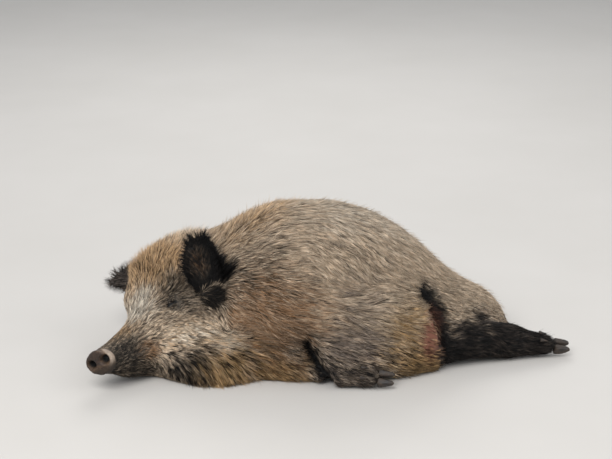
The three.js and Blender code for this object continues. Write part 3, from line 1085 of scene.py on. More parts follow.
@dataclass(frozen=True)
class Face:
    """The folds of the face, in the head's frame, in mm."""

    lid: float = 14.2
    slit: float = 5.2
    disc: tuple[float, float] = (43.0, 33.0)
    nostrils: float = 44.0
    nostril: tuple[float, float] = (15.5, 13.0)
    nostril_depth: float = 14.0
    front: float = 13.0
    nose_turn: float = 12.0
    nose_roll: float = 8.0
    nose_middle: tuple[float, float] = (8.0, 7.0)
    mouth_end: float = 130.0

    def model(self, q: Array, n: Array) -> Array:
        """Moves the vertices of the head.

        Args:
            q: Places in the head's frame.
            n: Normals in the head's frame.

        Returns:
            The new places.
        """
        q = q + n * self.folds(q)[:, None]
        q = self.nose(q)
        for side in SIDES:
            q = self.eyelids(q, side)
        return q

    def folds(self, q: Array) -> Array:
        """Wrinkles the snout, parts the lips and rims the nose.

        Args:
            q: Places in the head's frame.

        Returns:
            How far each place rises along its normal.
        """
        x, y, z = q.T
        around = np.maximum(z, 0.0) * 0.22
        wrinkles = np.sin((x + around + 3 * mottle(q, 30.0, 3)) * 0.72) * 0.7
        rise = wrinkles * smoothstep(12, 20, x) * fade(44, 66, x) * smoothstep(-20, 10, z)
        rise -= 3.0 * bell(x - 3 - 0.2 * y, 4.0) * (np.abs(x - 3) < 14)
        line = -27 + 13 * smoothstep(88, self.mouth_end, x) + 3 * np.sin(x / 16)
        seam = bell(z - line, 2.6) * smoothstep(4, 14, x)
        seam *= fade(self.mouth_end - 6, self.mouth_end + 3, x) * smoothstep(14, 24, np.abs(y))
        lip = bell(z - line, 5.0, 7) + 0.8 * bell(z - line, 5.0, -7)
        rise += -4.6 * seam + 1.3 * lip * smoothstep(10, 30, x) * fade(110, 136, x)
        cheek = bell(x - 146 - 0.35 * (z + 20), 5.0) * (np.abs(y) > 30) * (np.abs(z + 14) < 44)
        return rise - 1.6 * cheek

    def on_disc(self, q: Array) -> tuple[Array, Array, Array, Array]:
        """Places as seen from in front of the nose disc.

        Args:
            q: Places in the head's frame.

        Returns:
            The disc's outward direction, then how far each place lies to her left, up and outwards.
        """
        turn, roll = math.radians(self.nose_turn), math.radians(self.nose_roll)
        out = np.array([-math.cos(turn), -math.sin(turn), 0.0])
        left = np.array([math.sin(turn), -math.cos(turn), 0.0])
        up = np.array([0.0, 0.0, 1.0])
        middle = q - left * self.nose_middle[0] - up * self.nose_middle[1]
        across, above = middle @ left, middle @ up
        a = across * math.cos(roll) + above * math.sin(roll)
        b = above * math.cos(roll) - across * math.sin(roll)
        return out, a, b, q @ out

    def by_nostril(self, a: Array, b: Array, side: int) -> Array:
        """How far places of the disc lie from a nostril's middle: 1 on its edge."""
        across = a - side * self.nostrils / 2
        return np.hypot(across / self.nostril[0], (b - 0.1 * across * side) / self.nostril[1])

    def nose(self, q: Array) -> Array:
        """Sinks the nostrils into the nose disc and raises their rims.

        Args:
            q: Places in the head's frame.

        Returns:
            The new places.
        """
        out, a, b, front = self.on_disc(q)
        share = smoothstep(self.front - 9, self.front - 4, front)
        sink = np.zeros(len(q))
        for side in SIDES:
            far = self.by_nostril(a, b, side)
            sink += self.nostril_depth * fade(0.3, 1.0, far) - 2.0 * bell(far, 0.2, 1.22)
        dome = 1.4 * bell(a, 7) * bell(b, 22)
        dent = 1.3 * bell(b + 20 - 0.01 * a * a, 5)
        return q - out * ((sink - dome + dent) * share)[:, None]

    @staticmethod
    def over_eye(q: Array, side: int) -> tuple[Array, Array, Array]:
        """Places as seen from in front of an eye.

        Args:
            q: Places in the head's frame.
            side: Which eye.

        Returns:
            How far each lies along the slit, up across it, and outwards.
        """
        v = q - HEAD.eye_at(side)
        out = unit(np.array([-0.22, side * 1.0, 0.12]))
        along = unit(np.array([1.0, 0.22 * side, 0.0]))
        up = np.cross(along, out) * -side
        return v @ along, v @ up, v @ out

    @staticmethod
    def slit_line(a: Array) -> Array:
        """The height of the closed lids' edge along the eye."""
        return 0.016 * a * a - 0.06 * a - 3.0

    def eyelids(self, q: Array, side: int) -> Array:
        """Closes the lids over one eye, leaving a thin slit under the upper lid's edge.

        Args:
            q: Places in the head's frame.
            side: Which eye.

        Returns:
            The new places.
        """
        centre = HEAD.eye_at(side)
        a, b, out = self.over_eye(q, side)
        v = q - centre
        reach = np.linalg.norm(v, axis=1)
        near = fade(26, 38, reach)
        above = b - self.slit_line(a)
        span = fade(10.0, 15.0, np.abs(a))
        slit = bell(above, 2.3, -0.3) * span
        upper = bell(above, 2.2, 4.4) * span
        lower = bell(above, 1.8, -4.2) * span
        target = self.lid - self.slit * slit + 1.9 * upper + 0.9 * lower
        lidded = centre + v / np.maximum(reach, 1e-6)[:, None] * target[:, None]
        share = fade(9.0, 17.0, np.hypot(a * 0.8, b * 1.1)) * smoothstep(-2.0, 4.0, out)
        q = q + (lidded - q) * share[:, None]
        wide = fade(12, 22, np.abs(a))
        crease = -2.8 * bell(above, 2.0, 12) + 1.2 * bell(above, 3.5, 17)
        bags = -1.1 * bell(above, 1.5, -8.5) - 0.8 * bell(above, 1.6, -13.5)
        corners = smoothstep(12, 16, np.abs(a)) * fade(20, 27, np.abs(a))
        furrow = -1.6 * bell(above, 1.6) * corners
        rise = ((crease + bags) * wide + furrow) * near * (out > -4)
        return q + unit(v) * rise[:, None]


Span = tuple[float, float]


def from_lids(q: Array, side: int) -> Array:
    """How far places of the head's frame lie from the lids of one eye."""
    return np.linalg.norm(q - HEAD.eye_at(side, 10), axis=1)


def snout(q: Array, end: float) -> Array:
    """How far places of the head's frame lie on the snout, which ends that far back."""
    return fade(60, end, q[:, 0])


def crown(q: Array, up: Span = (90, 160), back: Span = (190, 250)) -> Array:
    """How far places of the head's frame lie on its top, by how high up and how far back they are."""
    return smoothstep(*up, q[:, 2]) * smoothstep(*back, q[:, 0])


def jowl(q: Array, out: Span = (70, 120), down: Span = (-40, 20)) -> Array:
    """How far places of the head's frame lie on the jowls, by how far out and how low they are."""
    return smoothstep(*out, np.abs(q[:, 1])) * fade(*down, q[:, 2])


def coat_depth(shares: Array, p: Array) -> Array:
    """How deep the skin lies under the tips of the coat.

    Args:
        shares: How far each place belongs to each region.
        p: Places in the row frame, in metres.

    Returns:
        The depth in mm.
    """
    q = HEAD.local(p)
    depth = shares @ np.array([r.value.depth for r in Region])
    on_head = shares[:, Region.HEAD.column]
    top = crown(q)
    depth = depth + on_head * (12.0 * top + 8.0 * jowl(q) - 2.9 * snout(q, 170) * (1 - top))
    crest = blob(p, (-0.22, 0.03, 0.36), (0.22, 0.12, 0.12), 0.0)
    return np.maximum(depth + 6.0 * crest, 0.3) * smoothstep(0.0, 0.03, p[:, 2] + 0.004)


# ---------------------------------------------------------------- lie and length of the hair


@dataclass
class Pelt:
    """What the hair does at each vertex of the skin."""

    skin: Skin
    place: Array = field(init=False)
    on_skull: Array = field(init=False)
    normal: Array = field(init=False)
    ends: Array = field(init=False)
    flow: Array = field(init=False)
    growth: Array = field(init=False)
    marks: Array = field(init=False)
    lift: Array = field(init=False)
    contrast: Array = field(init=False)
    glow: Array = field(init=False)

    def __post_init__(self) -> None:
        """Works out the pelt over the skin."""
        mesh = self.skin.mesh
        self.place, self.normal, self.ends = coords(mesh), normals(mesh), edges(mesh)
        self.on_skull = HEAD.local(self.place)
        self.flow = self.combed()
        self.marks = self.marked()
        self.growth = self.grown()
        self.lift = self.lifted()
        self.contrast = self.streaked()
        cheek = self.share(Region.HEAD) * fade(10, 40, self.on_skull[:, 2])
        self.glow = 0.4 * self.marks[:, Mark.PALE.column] * cheek

    def share(self, *regions: Region) -> Array:
        """How far each vertex belongs to some regions."""
        return sum(self.skin.shares[:, r.column] for r in regions)

    def nodes(self, *names: str) -> Array:
        """Which vertices came from some CAD nodes."""
        return np.isin(self.skin.node_of, [FLESH.index(name) for name in names])

    def combed(self) -> Array:
        """Combs the hair over the whole skin.

        Returns:
            The way the hair lies at each vertex, from root to tip.
        """
        p, q = self.place, self.on_skull
        flow = self.on_trunk(p) * self.share(Region.TRUNK, Region.NECK, Region.THIGH)[:, None]
        flow += self.on_face(q) * self.share(Region.HEAD, Region.JAW, Region.NOSE)[:, None]
        for ear in EARS:
            along = self.on_ear(ear, q)
            flow[self.nodes(ear.node)] = along[self.nodes(ear.node)]
        for name, way in LEG_LIES.items():
            flow[self.nodes(name)] = unit(np.array(way))
        flow = self.laid(diffused(self.laid(flow), self.ends, 8))
        swirl = (mottle(p, 0.06, 5) - 0.5) * 0.8 + (mottle(p, 0.02, 6) - 0.5) * 0.3
        side = np.cross(self.normal, flow)
        return self.laid(flow + side * swirl[:, None])

    def laid(self, flow: Array) -> Array:
        """The directions turned into the skin."""
        flow = flow - self.normal * np.sum(flow * self.normal, axis=1, keepdims=True)
        return unit(flow)

    @staticmethod
    def on_trunk(p: Array) -> Array:
        """Combs the trunk backwards and down, steeper near the spine.

        Args:
            p: Places in the row frame.

        Returns:
            The way the hair lies there.
        """
        high = smoothstep(0.22, 0.34, p[:, 2])
        low = fade(0.05, 0.16, p[:, 2])
        fall = 0.14 + 0.75 * high * smoothstep(-0.12, 0.0, p[:, 0]) + 0.16 * low
        apart = np.sign(p[:, 1]) * 0.5 * high
        return np.stack([np.ones(len(p)), apart, -fall], axis=1)

    @staticmethod
    def on_face(q: Array) -> Array:
        """Combs the head back over the skull, and fans out from the corners of the mouth.

        Args:
            q: Places in the head's frame.

        Returns:
            The way the hair lies there, in the row frame.
        """
        x, y, z = q.T
        flow = np.tile([1.0, 0.0, 0.12], (len(q), 1))
        beside = smoothstep(70, 130, x) * fade(255, 300, x) * smoothstep(26, 56, np.abs(y))
        flow[:, 2] += beside * (0.9 * smoothstep(48, 104, z) - 0.5)
        for side in SIDES:
            corner = np.array([112.0, side * 50.0, -4.0])
            fan = q - corner
            far = np.linalg.norm(fan, axis=1)
            share = smoothstep(8, 50, far) * smoothstep(30, 70, side * y) * fade(-10, 40, z)
            droop = np.array([-0.07, 0.37, -0.92]) * smoothstep(50, 150, far)[:, None]
            flow += (unit(fan) * 1.5 + droop * 2.3) * share[:, None]
        return flow @ HEAD.axes().T

    @staticmethod
    def on_ear(ear: EarFrame, q: Array) -> Array:
        """From the root to the tip, spreading towards the rim."""
        e = ear.local(q)
        spread = np.stack([e[:, 0] / 42.0, np.zeros(len(e)), np.ones(len(e))], axis=1)
        return spread @ ear.axes().T @ HEAD.axes().T

    def grown(self) -> Array:
        """Grows the tufts: shorter on the snout and by the eyes, longer on the crown and jowls.

        Returns:
            Their length, depth, width and spacing at each vertex, in metres.
        """
        q = self.on_skull
        table = [[r.value.length, r.value.depth, r.value.width, r.value.spacing] for r in Region]
        length, _, width, spacing = (self.skin.shares @ np.array(table)).T
        on_head, front, low = self.share(Region.HEAD), snout(q, 175), jowl(q)
        length = length * (1 + on_head * (0.7 * crown(q) + 0.9 * low - 0.68 * front * (1 - low)))
        width = width * (1 - 0.35 * on_head * front)
        spacing = spacing * (1 - 0.16 * on_head * front)
        for ear in EARS:
            e = ear.local(q)
            rim = smoothstep(22, 46, np.abs(e[:, 0])) + smoothstep(110, 150, e[:, 2])
            length *= np.where(self.nodes(ear.node), 0.9 + 1.0 * np.clip(rim, 0, 1), 1.0)
        for side in SIDES:
            far = from_lids(q, side)
            length *= 0.2 + 0.8 * smoothstep(16, 42, far)
            width *= 0.55 + 0.45 * smoothstep(14, 36, far)
        length *= 1 - 0.6 * self.marks[:, Mark.BARE.column]
        for fold in FOLDS:
            length = np.minimum(length, fold.overhang + fold.away(self.place))
        length *= 1 + 0.7 * self.by_hoof()
        depth = coat_depth(self.skin.shares, self.place)
        return np.stack([length, depth, width, spacing], axis=1) * MM

    def by_hoof(self) -> Array:
        """How near each vertex of a leg is to its claws, for the hair that hangs over them."""
        claws = [np.array(middle_of(name)) for name in CLAWS]
        far = np.min([np.linalg.norm(self.place - claw, axis=1) for claw in claws], axis=0)
        return fade(0.02, 0.06, far) * self.share(Region.SHANK)

    def lifted(self) -> Array:
        """Lifts the hair of the crown, crest and jowls and of the rims of the ears.

        Returns:
            How far the hair stands off the skin at each vertex, from 0 to 1.
        """
        q = self.on_skull
        top, side = crown(q, (70, 140), (170, 240)), jowl(q, (80, 130), (-60, 0))
        lift = self.share(Region.HEAD) * np.maximum(0.8 * top, 0.3 * side) + 0.08 + 0.15 * self.by_hoof()
        on_floor = fade(0.015, 0.07, self.place[:, 2])
        lift += 0.3 * on_floor * self.share(Region.HEAD, Region.NECK, Region.TRUNK)
        lift += 0.3 * blob(self.place, (-0.20, 0.03, 0.36), (0.24, 0.10, 0.12), 0.0)
        lift += 0.12 * self.share(Region.NECK, Region.TAIL, Region.SHANK)
        for ear in EARS:
            e = ear.local(q)
            rim = smoothstep(20, 44, np.abs(e[:, 0])) + smoothstep(110, 150, e[:, 2])
            lift = np.where(self.nodes(ear.node), np.clip(0.25 + rim, 0, 0.95), lift)
        return np.clip(lift, 0, 1)

    def streaked(self) -> Array:
        """Parts the locks in tone: most on the head and low down, least on the flanks.

        Returns:
            How much the locks differ at each vertex.
        """
        q = self.on_skull
        on_head = self.share(Region.HEAD, Region.JAW)
        low = 0.8 * fade(0.05, 0.16, self.place[:, 2])
        side = jowl(q, (50, 90), (-30, 20)) * on_head
        top = smoothstep(80, 130, q[:, 2]) * on_head
        neck = self.share(Region.NECK) * smoothstep(0.14, 0.24, self.place[:, 2])
        return 0.48 + 0.26 * on_head + 0.95 * np.maximum(low, side) + 0.35 * top + 0.3 * neck

    def marked(self) -> Array:
        """Lays every marking, with painted shade in the creases, the groin and the nostrils, and painted
        sheen on the hind legs and the far ear.

        Returns:
            A row of shares for each vertex, in the order of Mark.
        """
        layers = Layers(len(self.place))
        head = self.share(Region.HEAD, Region.JAW, Region.NOSE)
        body = self.share(Region.TRUNK, Region.NECK, Region.THIGH)
        layers.lay_all(Markings().on_head(self.on_skull), np.clip(head, 0, 1))
        layers.lay_all(Markings().on_body(self.place), np.clip(body, 0, 1))
        self.mark_haunches(layers)
        self.mark_ears(layers)
        self.mark_forelegs(layers)
        self.mark_nose(layers)
        # Painted shade: each crease darkened where shade falls; high on the fold before the thigh it also
        # stands for the real dark hair at the stifle, so it reaches further there.
        for fold in FOLDS:
            shade = fold.shade * (1 + 0.45 * smoothstep(0.12, 0.18, self.place[:, 2]))
            layers.lay(Mark.DARK, fold.near(self.place, shade))
        return np.stack([layers.shares[mark] for mark in Mark], axis=1)

    def spread(self, chosen: Array, steps: int = 5) -> Array:
        """Some vertices at 1, spread softly into their neighbours."""
        return diffused(chosen.astype(float), self.ends, steps)

    def mark_haunches(self, layers: Layers) -> None:
        """Darkens the hind legs and the tail, lays painted shade in the hollow of the groin, and paints a
        blue-grey sheen under the dark of the hind legs.

        Args:
            layers: The markings so far.
        """
        x, y, z = self.place.T
        tail = self.nodes("tail") & (z < 0.13)
        hind = self.spread(self.nodes("hind_leg_left", "hind_leg_right") | tail)
        # Painted shade: the hollow of the groin, between the belly and the thigh; the thigh's own black
        # hair joins it below.
        groin = smoothstep(0.238, 0.256, x) * fade(0.30, 0.42, x) * (np.abs(y) > 0.09)
        haunch = (groin + self.share(Region.THIGH) * (x > 0.26)).clip(0, 1)
        above = smoothstep(0.09, 0.15, z + 0.05 * (mottle(self.place, 0.03, 12) - 0.5))
        haunch *= 1 - above
        hind *= 1 - 0.9 * above * fade(0.42, 0.50, x)
        layers.lay(Mark.DARK, np.maximum(0.91 * hind, 0.97 * haunch))
        # Painted sheen: dust grey under the dark, showing as blue-grey highlights among the black hair of
        # the hind legs and the groin.
        layers.lay(Mark.DUST_AND_SHEEN, np.maximum(hind, haunch))

    def mark_ears(self, layers: Layers) -> None:
        """Blackens the ears, greys the far one with painted sheen, and browns the hollow of the near one.

        Args:
            layers: The markings so far.
        """
        near, far = EARS
        both = self.nodes(near.node, far.node)
        # Painted sheen: the far ear greyed as if lit from behind.
        far_sheen = self.spread(self.nodes(far.node))
        hollow = blob(near.local(self.on_skull), (8, 10, 78), (26, 30, 56)) * self.nodes(near.node)
        black = np.maximum(both, self.spread(both))
        layers.lay(Mark.DARK, black - 0.3 * far_sheen - 0.14 * hollow)
        layers.lay(Mark.DUST_AND_SHEEN, far_sheen)
        layers.lay(Mark.RUST, hollow)

    def mark_forelegs(self, layers: Layers) -> None:
        """Greys and darkens the forelegs below the elbow.

        Args:
            layers: The markings so far.
        """
        fore = self.spread(self.nodes("foreleg_left", "foreleg_right"))
        layers.lay(Mark.DUST_AND_SHEEN, 0.8 * fore)
        layers.lay(Mark.DARK, 0.5 * fore * (1 - layers.shares[Mark.DARK]))

    def mark_nose(self, layers: Layers) -> None:
        """Colours the nose disc as leather, with a paler rim, nostrils darkened with painted shade, and a
        dark underside.

        Args:
            layers: The markings so far.
        """
        face, marks = Face(), layers.shares
        disc = self.spread(self.nodes("nose"), 2)
        _, a, b, _ = face.on_disc(self.on_skull)
        edge = np.hypot(a / face.disc[0], b / face.disc[1])
        rim = smoothstep(0.68, 0.94, edge) * smoothstep(2, 24, a) * smoothstep(-32, -12, b) * disc
        # Painted shade: the hollows of the nostrils darkened.
        hollow = np.maximum.reduce([fade(0.62, 1.05, face.by_nostril(a, b, side)) for side in SIDES])
        under = 0.9 * fade(-23, -3, b)
        marks[Mark.NOSE] = disc * (1 - np.maximum.reduce([0.8 * rim, hollow, under]))
        marks[Mark.DARK] = marks[Mark.DARK] * (1 - disc) + np.maximum(hollow, under) * disc
        marks[Mark.PALE] = np.maximum(marks[Mark.PALE] * (1 - disc), 0.8 * rim)
        layers.lay(Mark.OCHRE, disc)
        layers.lay(Mark.BARE, 0.22 * disc * (1 - hollow) * (1 - under))


LEG_LIES: dict[str, tuple[float, float, float]] = {
    "foreleg_left": (1.0, -0.3, -0.2),
    "foreleg_right": (1.0, 0.3, -0.2),
    "hind_leg_left": (1.0, 0.0, -0.25),
    "hind_leg_right": (0.7, 0.5, -0.4),
    "tail": (0.2, -0.5, -1.0),
}


# ---------------------------------------------------------------- coat


@dataclass
class Unwrap:
    """A flat layout of the skin's own shape, for placing each tuft's patch."""

    skin: bpy.types.Object
    faces: int = 7000
    places: Array = field(init=False)
    corners: Array = field(init=False)
    flat: Array = field(init=False)
    tree: BVHTree = field(init=False)

    def build(self) -> None:
        """Unwraps a lighter copy of the skin."""
        guide = new_object("guide", self.skin.data.copy())
        lighter = guide.modifiers.new("lighter", "DECIMATE")
        lighter.ratio = self.faces / max(len(triangles(self.skin.data)), 1)
        lighter.use_collapse_triangulate = True
        guide = new_object("guide_light", applied(guide))
        bpy.context.view_layer.objects.active = guide
        guide.select_set(True)
        bpy.ops.object.mode_set(mode="EDIT")
        bpy.ops.mesh.select_all(action="SELECT")
        bpy.ops.uv.smart_project(angle_limit=math.radians(66), island_margin=0.004)
        bpy.ops.object.mode_set(mode="OBJECT")
        mesh = guide.data
        self.places = coords(mesh)
        self.corners = triangles(mesh)
        loops = np.empty(len(mesh.loop_triangles) * 3, np.int32)
        mesh.loop_triangles.foreach_get("loops", loops)
        flat = np.empty(len(mesh.loops) * 2, np.float32)
        mesh.uv_layers.active.data.foreach_get("uv", flat)
        self.flat = flat.reshape(-1, 2)[loops].reshape(-1, 3, 2)
        self.tree = BVHTree.FromPolygons([Vector(v) for v in self.places], self.corners.tolist())
        bpy.data.objects.remove(guide)

    def at(self, places: Array) -> Array:
        """Finds places of the skin in the layout.

        Args:
            places: The places, n by 3.

        Returns:
            Where each lies in the layout, n by 2.
        """
        hits = [self.tree.find_nearest(Vector(p)) for p in places]
        face = np.array([hit[2] for hit in hits])
        on = np.array([hit[0] for hit in hits])
        a, b, c = (self.places[self.corners[face, i]] for i in range(3))
        whole = np.cross(b - a, c - a)
        area = np.maximum(np.sum(whole * whole, axis=1), 1e-18)
        wb = np.sum(np.cross(on - a, c - a) * whole, axis=1) / area
        wc = np.sum(np.cross(b - a, on - a) * whole, axis=1) / area
        weights = np.clip(np.stack([1 - wb - wc, wb, wc], axis=1), 0, 1)
        weights /= weights.sum(axis=1, keepdims=True)
        return np.einsum("ij,ijk->ik", weights, self.flat[face])


TUFT_FACES = np.array(
    [
        [0, 2, 1], [0, 1, 4], [0, 4, 3], [1, 2, 5], [1, 5, 4],
        [2, 0, 3], [2, 3, 5], [3, 4, 6], [4, 5, 6], [5, 3, 6],
    ]
)
TUFT_ALONG = (0.0, 0.0, 0.0, 0.55, 0.55, 0.55, 1.0)
TUFT_CORNERS = len(TUFT_ALONG)


@dataclass
class Coat:
    """Her coat: thin closed tufts that lie along the skin, in pieces by region."""

    skin: bpy.types.Object
    pelt: Pelt
    seed: int = 7
    most: int = 19500
    haunch_from: float = 0.14
    crowd: float = 2.6
    lock: float = 1.9
    jowl_lock: float = 2.9
    sunk: float = 0.0006
    patch: float = 0.003
    rng: np.random.Generator = field(init=False)
    tree: BVHTree = field(init=False)

    def build(self) -> list[bpy.types.Object]:
        """Grows the coat.

        Returns:
            The coat's pieces.
        """
        self.rng = np.random.default_rng(self.seed)
        self.tree = BVHTree.FromObject(self.skin, bpy.context.evaluated_depsgraph_get())
        layout = Unwrap(self.skin)
        layout.build()
        roots = self.rooted()
        flat = layout.at(roots["place"])
        finish = CoatFinish().material()
        pieces = []
        for name, chosen in self.sorted_roots(roots, self.haunch_from).items():
            parts = np.array_split(chosen, math.ceil(len(chosen) / self.most))
            for i, part in enumerate(parts):
                label = name if len(parts) == 1 else f"{name}_{i + 1}"
                some = {key: value[part] for key, value in roots.items()}
                pieces.append(self.piece(label, some, flat[part], finish))
        return pieces

    def rooted(self) -> dict[str, Array]:
        """Scatters the tufts' roots evenly over the skin.

        Returns:
            Each property of the pelt at each root.
        """
        pelt, corners = self.pelt, triangles(self.skin.data)
        a, b, c = (pelt.place[corners[:, i]] for i in range(3))
        area = np.linalg.norm(np.cross(b - a, c - a), axis=1) / 2
        spacing = pelt.growth[corners, 3].mean(axis=1)
        wanted = area / spacing**2 * self.crowd
        count = int(wanted.sum())
        face = self.rng.choice(len(corners), count, p=wanted / wanted.sum())
        r = np.sqrt(self.rng.random(count))
        s = self.rng.random(count)
        weights = np.stack([1 - r, r * (1 - s), r * s], axis=1)

        def over(values: Array) -> Array:
            """The skin's values at the roots."""
            return np.einsum("ij,ij...->i...", weights, values[corners[face]])

        roots = {
            "place": over(pelt.place),
            "normal": unit(over(pelt.normal)),
            "flow": unit(over(pelt.flow)),
            "growth": over(pelt.growth),
            "marks": over(pelt.marks),
            "lift": over(pelt.lift),
            "contrast": over(pelt.contrast),
            "glow": over(pelt.glow),
            "shares": over(pelt.skin.shares),
            "node": pelt.skin.node_of[corners[face, 0]],
        }
        keep = self.even(roots) & self.is_haired(roots)
        return {key: value[keep] for key, value in roots.items()}

    @staticmethod
    def scattered(marks: Array, chance: Array) -> Array:
        """Lets locks and hairs of one marking grow among another's where they meet."""
        mixed = np.clip(marks + (chance - 0.5) * 4.4 * marks * (1 - marks), 0, 1)
        mixed[:, Mark.BARE.column] *= 0.4
        return mixed

    @staticmethod
    def even(roots: dict[str, Array]) -> Array:
        """Keeps one root in each small cell.

        Args:
            roots: The pelt at the roots.

        Returns:
            Which roots stay.
        """
        size = np.exp(np.round(np.log(roots["growth"][:, 3]) / 0.18) * 0.18)
        cell = np.floor(roots["place"] / size[:, None]).astype(np.int64)
        key = cell @ SCRAMBLE + (size * 1e6).astype(np.int64) * 7
        first = np.unique(key, return_index=True)[1]
        keep = np.zeros(len(key), bool)
        keep[first] = True
        return keep

    @staticmethod
    def is_haired(roots: dict[str, Array]) -> Array:
        """Keeps hair from growing under her, on the nose, between the lids and on bare patches.

        Args:
            roots: The pelt at the roots.

        Returns:
            Which roots stay.
        """
        p, q = roots["place"], HEAD.local(roots["place"])
        above = (p[:, 2] > 0.005) | (roots["normal"][:, 2] > -0.3)
        disc = roots["node"] == FLESH.index("nose")
        bare = roots["marks"][:, Mark.BARE.column] > 0.55
        slit = np.zeros(len(p), bool)
        for side in SIDES:
            a, b, out = Face.over_eye(q, side)
            slit |= (np.abs(b - Face.slit_line(a)) < 4.6) & (np.abs(a) < 16) & (out > 0) & (out < 30)
        return above & ~disc & ~slit & ~(bare & (mottle(p, 0.004, 8) < 0.63))

    @staticmethod
    def sorted_roots(roots: dict[str, Array], haunch_from: float) -> dict[str, Array]:
        """Sorts the roots into the pieces of the coat.

        Args:
            roots: The pelt at the roots.
            haunch_from: Where the sides end and the haunches begin.

        Returns:
            The numbers of each piece's roots, by its name.
        """
        region = np.argmax(roots["shares"], axis=1)
        left = roots["place"][:, 1] < 0
        fore = roots["place"][:, 0] < haunch_from
        q = HEAD.local(roots["place"])
        jowls = (np.abs(q[:, 1]) > 60) & (q[:, 2] < -10) & (q[:, 0] > 100)

        def isin(*wanted: Region) -> Array:
            """Which roots belong to some regions."""
            return np.isin(region, [r.column for r in wanted])

        head = isin(Region.HEAD, Region.JAW, Region.NOSE)
        body = isin(Region.TRUNK, Region.THIGH)
        groups = {
            "coat_head": head & ~jowls,
            "coat_jowls": head & jowls,
            "coat_neck": isin(Region.NECK),
            "coat_side_left": body & left & fore,
            "coat_side_right": body & ~left & fore,
            "coat_haunch_left": body & left & ~fore,
            "coat_haunch_right": body & ~left & ~fore,
            "coat_ears": isin(Region.EAR),
            "coat_legs": isin(Region.SHANK),
            "coat_tail": isin(Region.TAIL),
        }
        return {name: np.flatnonzero(chosen) for name, chosen in groups.items() if chosen.any()}

    def above_skin(self, places: Array, height: Array) -> tuple[Array, Array]:
        """Moves places to a height above the skin.

        Args:
            places: The places, n by 3.
            height: The height of each.

        Returns:
            The new places, and the skin's normals under them.
        """
        hits = [self.tree.find_nearest(Vector(p)) for p in places]
        on = np.array([hit[0] for hit in hits])
        up = np.array([hit[1] for hit in hits])
        return on + up * height[:, None], up

    def piece(
        self, name: str, roots: dict[str, Array], flat: Array, finish: bpy.types.Material
    ) -> bpy.types.Object:
        """Grows one piece of the coat.

        Args:
            name: The piece's name.
            roots: The pelt at its roots.
            flat: The roots' places in the skin's layout.
            finish: Its material.

        Returns:
            The piece.
        """
        count = len(roots["place"])
        apart = self.jowl_lock if name.startswith("coat_jowls") else self.lock
        apart *= float(roots["growth"][:, 3].mean())
        lock, gather = self.locks(roots["place"], roots["flow"], apart)
        held = self.rng.random((lock.max() + 1, 4 + len(Mark)))[lock]
        own = self.rng.random((count, 4 + len(Mark)))
        mesh = self.woven(name, self.tufts(roots, gather, held, own), count)
        self.dye(mesh, roots, held, own)
        self.place_patches(mesh, flat)
        made = new_object(name, mesh, finish)
        LOG.info("%s: %d tufts, %d triangles", name, count, count * len(TUFT_FACES))
        return made

    def tufts(self, roots: dict[str, Array], gather: Array, held: Array, own: Array) -> Array:
        """Shapes the tufts: a closed wedge that follows the skin to its middle and ends in a point.

        Args:
            roots: The pelt at their roots.
            gather: The way from each root to the middle of its lock.
            held: Chance numbers that the tufts of one lock share.
            own: Chance numbers of each tuft.

        Returns:
            The tufts' vertices, in the order of TUFT_ALONG.
        """
        place, normal, flow = roots["place"], roots["normal"], roots["flow"]
        length, depth, width, _ = roots["growth"].T
        length = length * (0.66 + 0.3 * held[:, 0] + 0.26 * own[:, 0])
        free = np.clip(roots["lift"] + 0.55 * (own[:, 1] < 0.06), 0, 0.95)
        rise = np.radians(self.rng.uniform(14, 34, len(place)) + 20 * roots["lift"])
        astray = (held[:, 1] - 0.5) * 0.36 + self.rng.normal(0, 0.06, len(place))
        way = unit(flow + np.cross(normal, flow) * astray[:, None])
        gather = gather - way * np.sum(gather * way, axis=1, keepdims=True) * 0.8
        root = place - normal * self.sunk
        half_way = root + way * (length * 0.48)[:, None] + gather * 0.25
        middle, up_middle = self.above_skin(half_way, depth * (0.4 + 0.4 * held[:, 2]))
        end = root + way * length[:, None] + gather * 0.62
        laid, _ = self.above_skin(end, depth * (0.42 + 0.45 * held[:, 2] + 0.12 * own[:, 2]))
        up = (length * np.sin(rise))[:, None] * normal
        raised = root + way * (length * np.cos(rise))[:, None] + gather * 0.4 + up
        tip = laid + (raised - laid) * free[:, None]
        middle = middle + up * (free * 0.22)[:, None]
        thick = (width * 0.42)[:, None]
        half = width * self.rng.uniform(0.38, 0.6, len(place))
        to_side = unit(np.cross(normal, way)) * (half * 0.7)[:, None]
        to_middle_side = unit(np.cross(up_middle, way)) * half[:, None]
        corners = [root - to_side, root + to_side, root + normal * thick]
        corners += [middle - to_middle_side, middle + to_middle_side, middle + up_middle * thick, tip]
        low, high = np.array(CAD_BOX[0]), np.array(CAD_BOX[1])
        return np.clip(np.stack(corners, axis=1).reshape(-1, 3), low + [0, 0, 0.0002], high)

    def dye(self, mesh: bpy.types.Mesh, roots: dict[str, Array], held: Array, own: Array) -> None:
        """Stores what the coat's material reads.

        Args:
            mesh: The tufts.
            roots: The pelt at their roots.
            held: Chance numbers that the tufts of one lock share.
            own: Chance numbers of each tuft.
        """
        count = len(own)
        strand = np.zeros((count, TUFT_CORNERS, 4))
        strand[:, :, 0] = TUFT_ALONG
        shade = 0.62 * held[:, 3] + 0.38 * own[:, 3] - 0.5
        strand[:, :, 1] = (0.5 + shade * roots["contrast"] + roots["glow"])[:, None]
        strand[:, :, 2] = self.rng.random(count)[:, None]
        store(mesh, "strand", strand.reshape(-1, 4))
        marks = self.scattered(roots["marks"], 0.65 * held[:, 4:] + 0.35 * own[:, 4:])
        Bands.keep(mesh, np.repeat(marks, TUFT_CORNERS, axis=0))

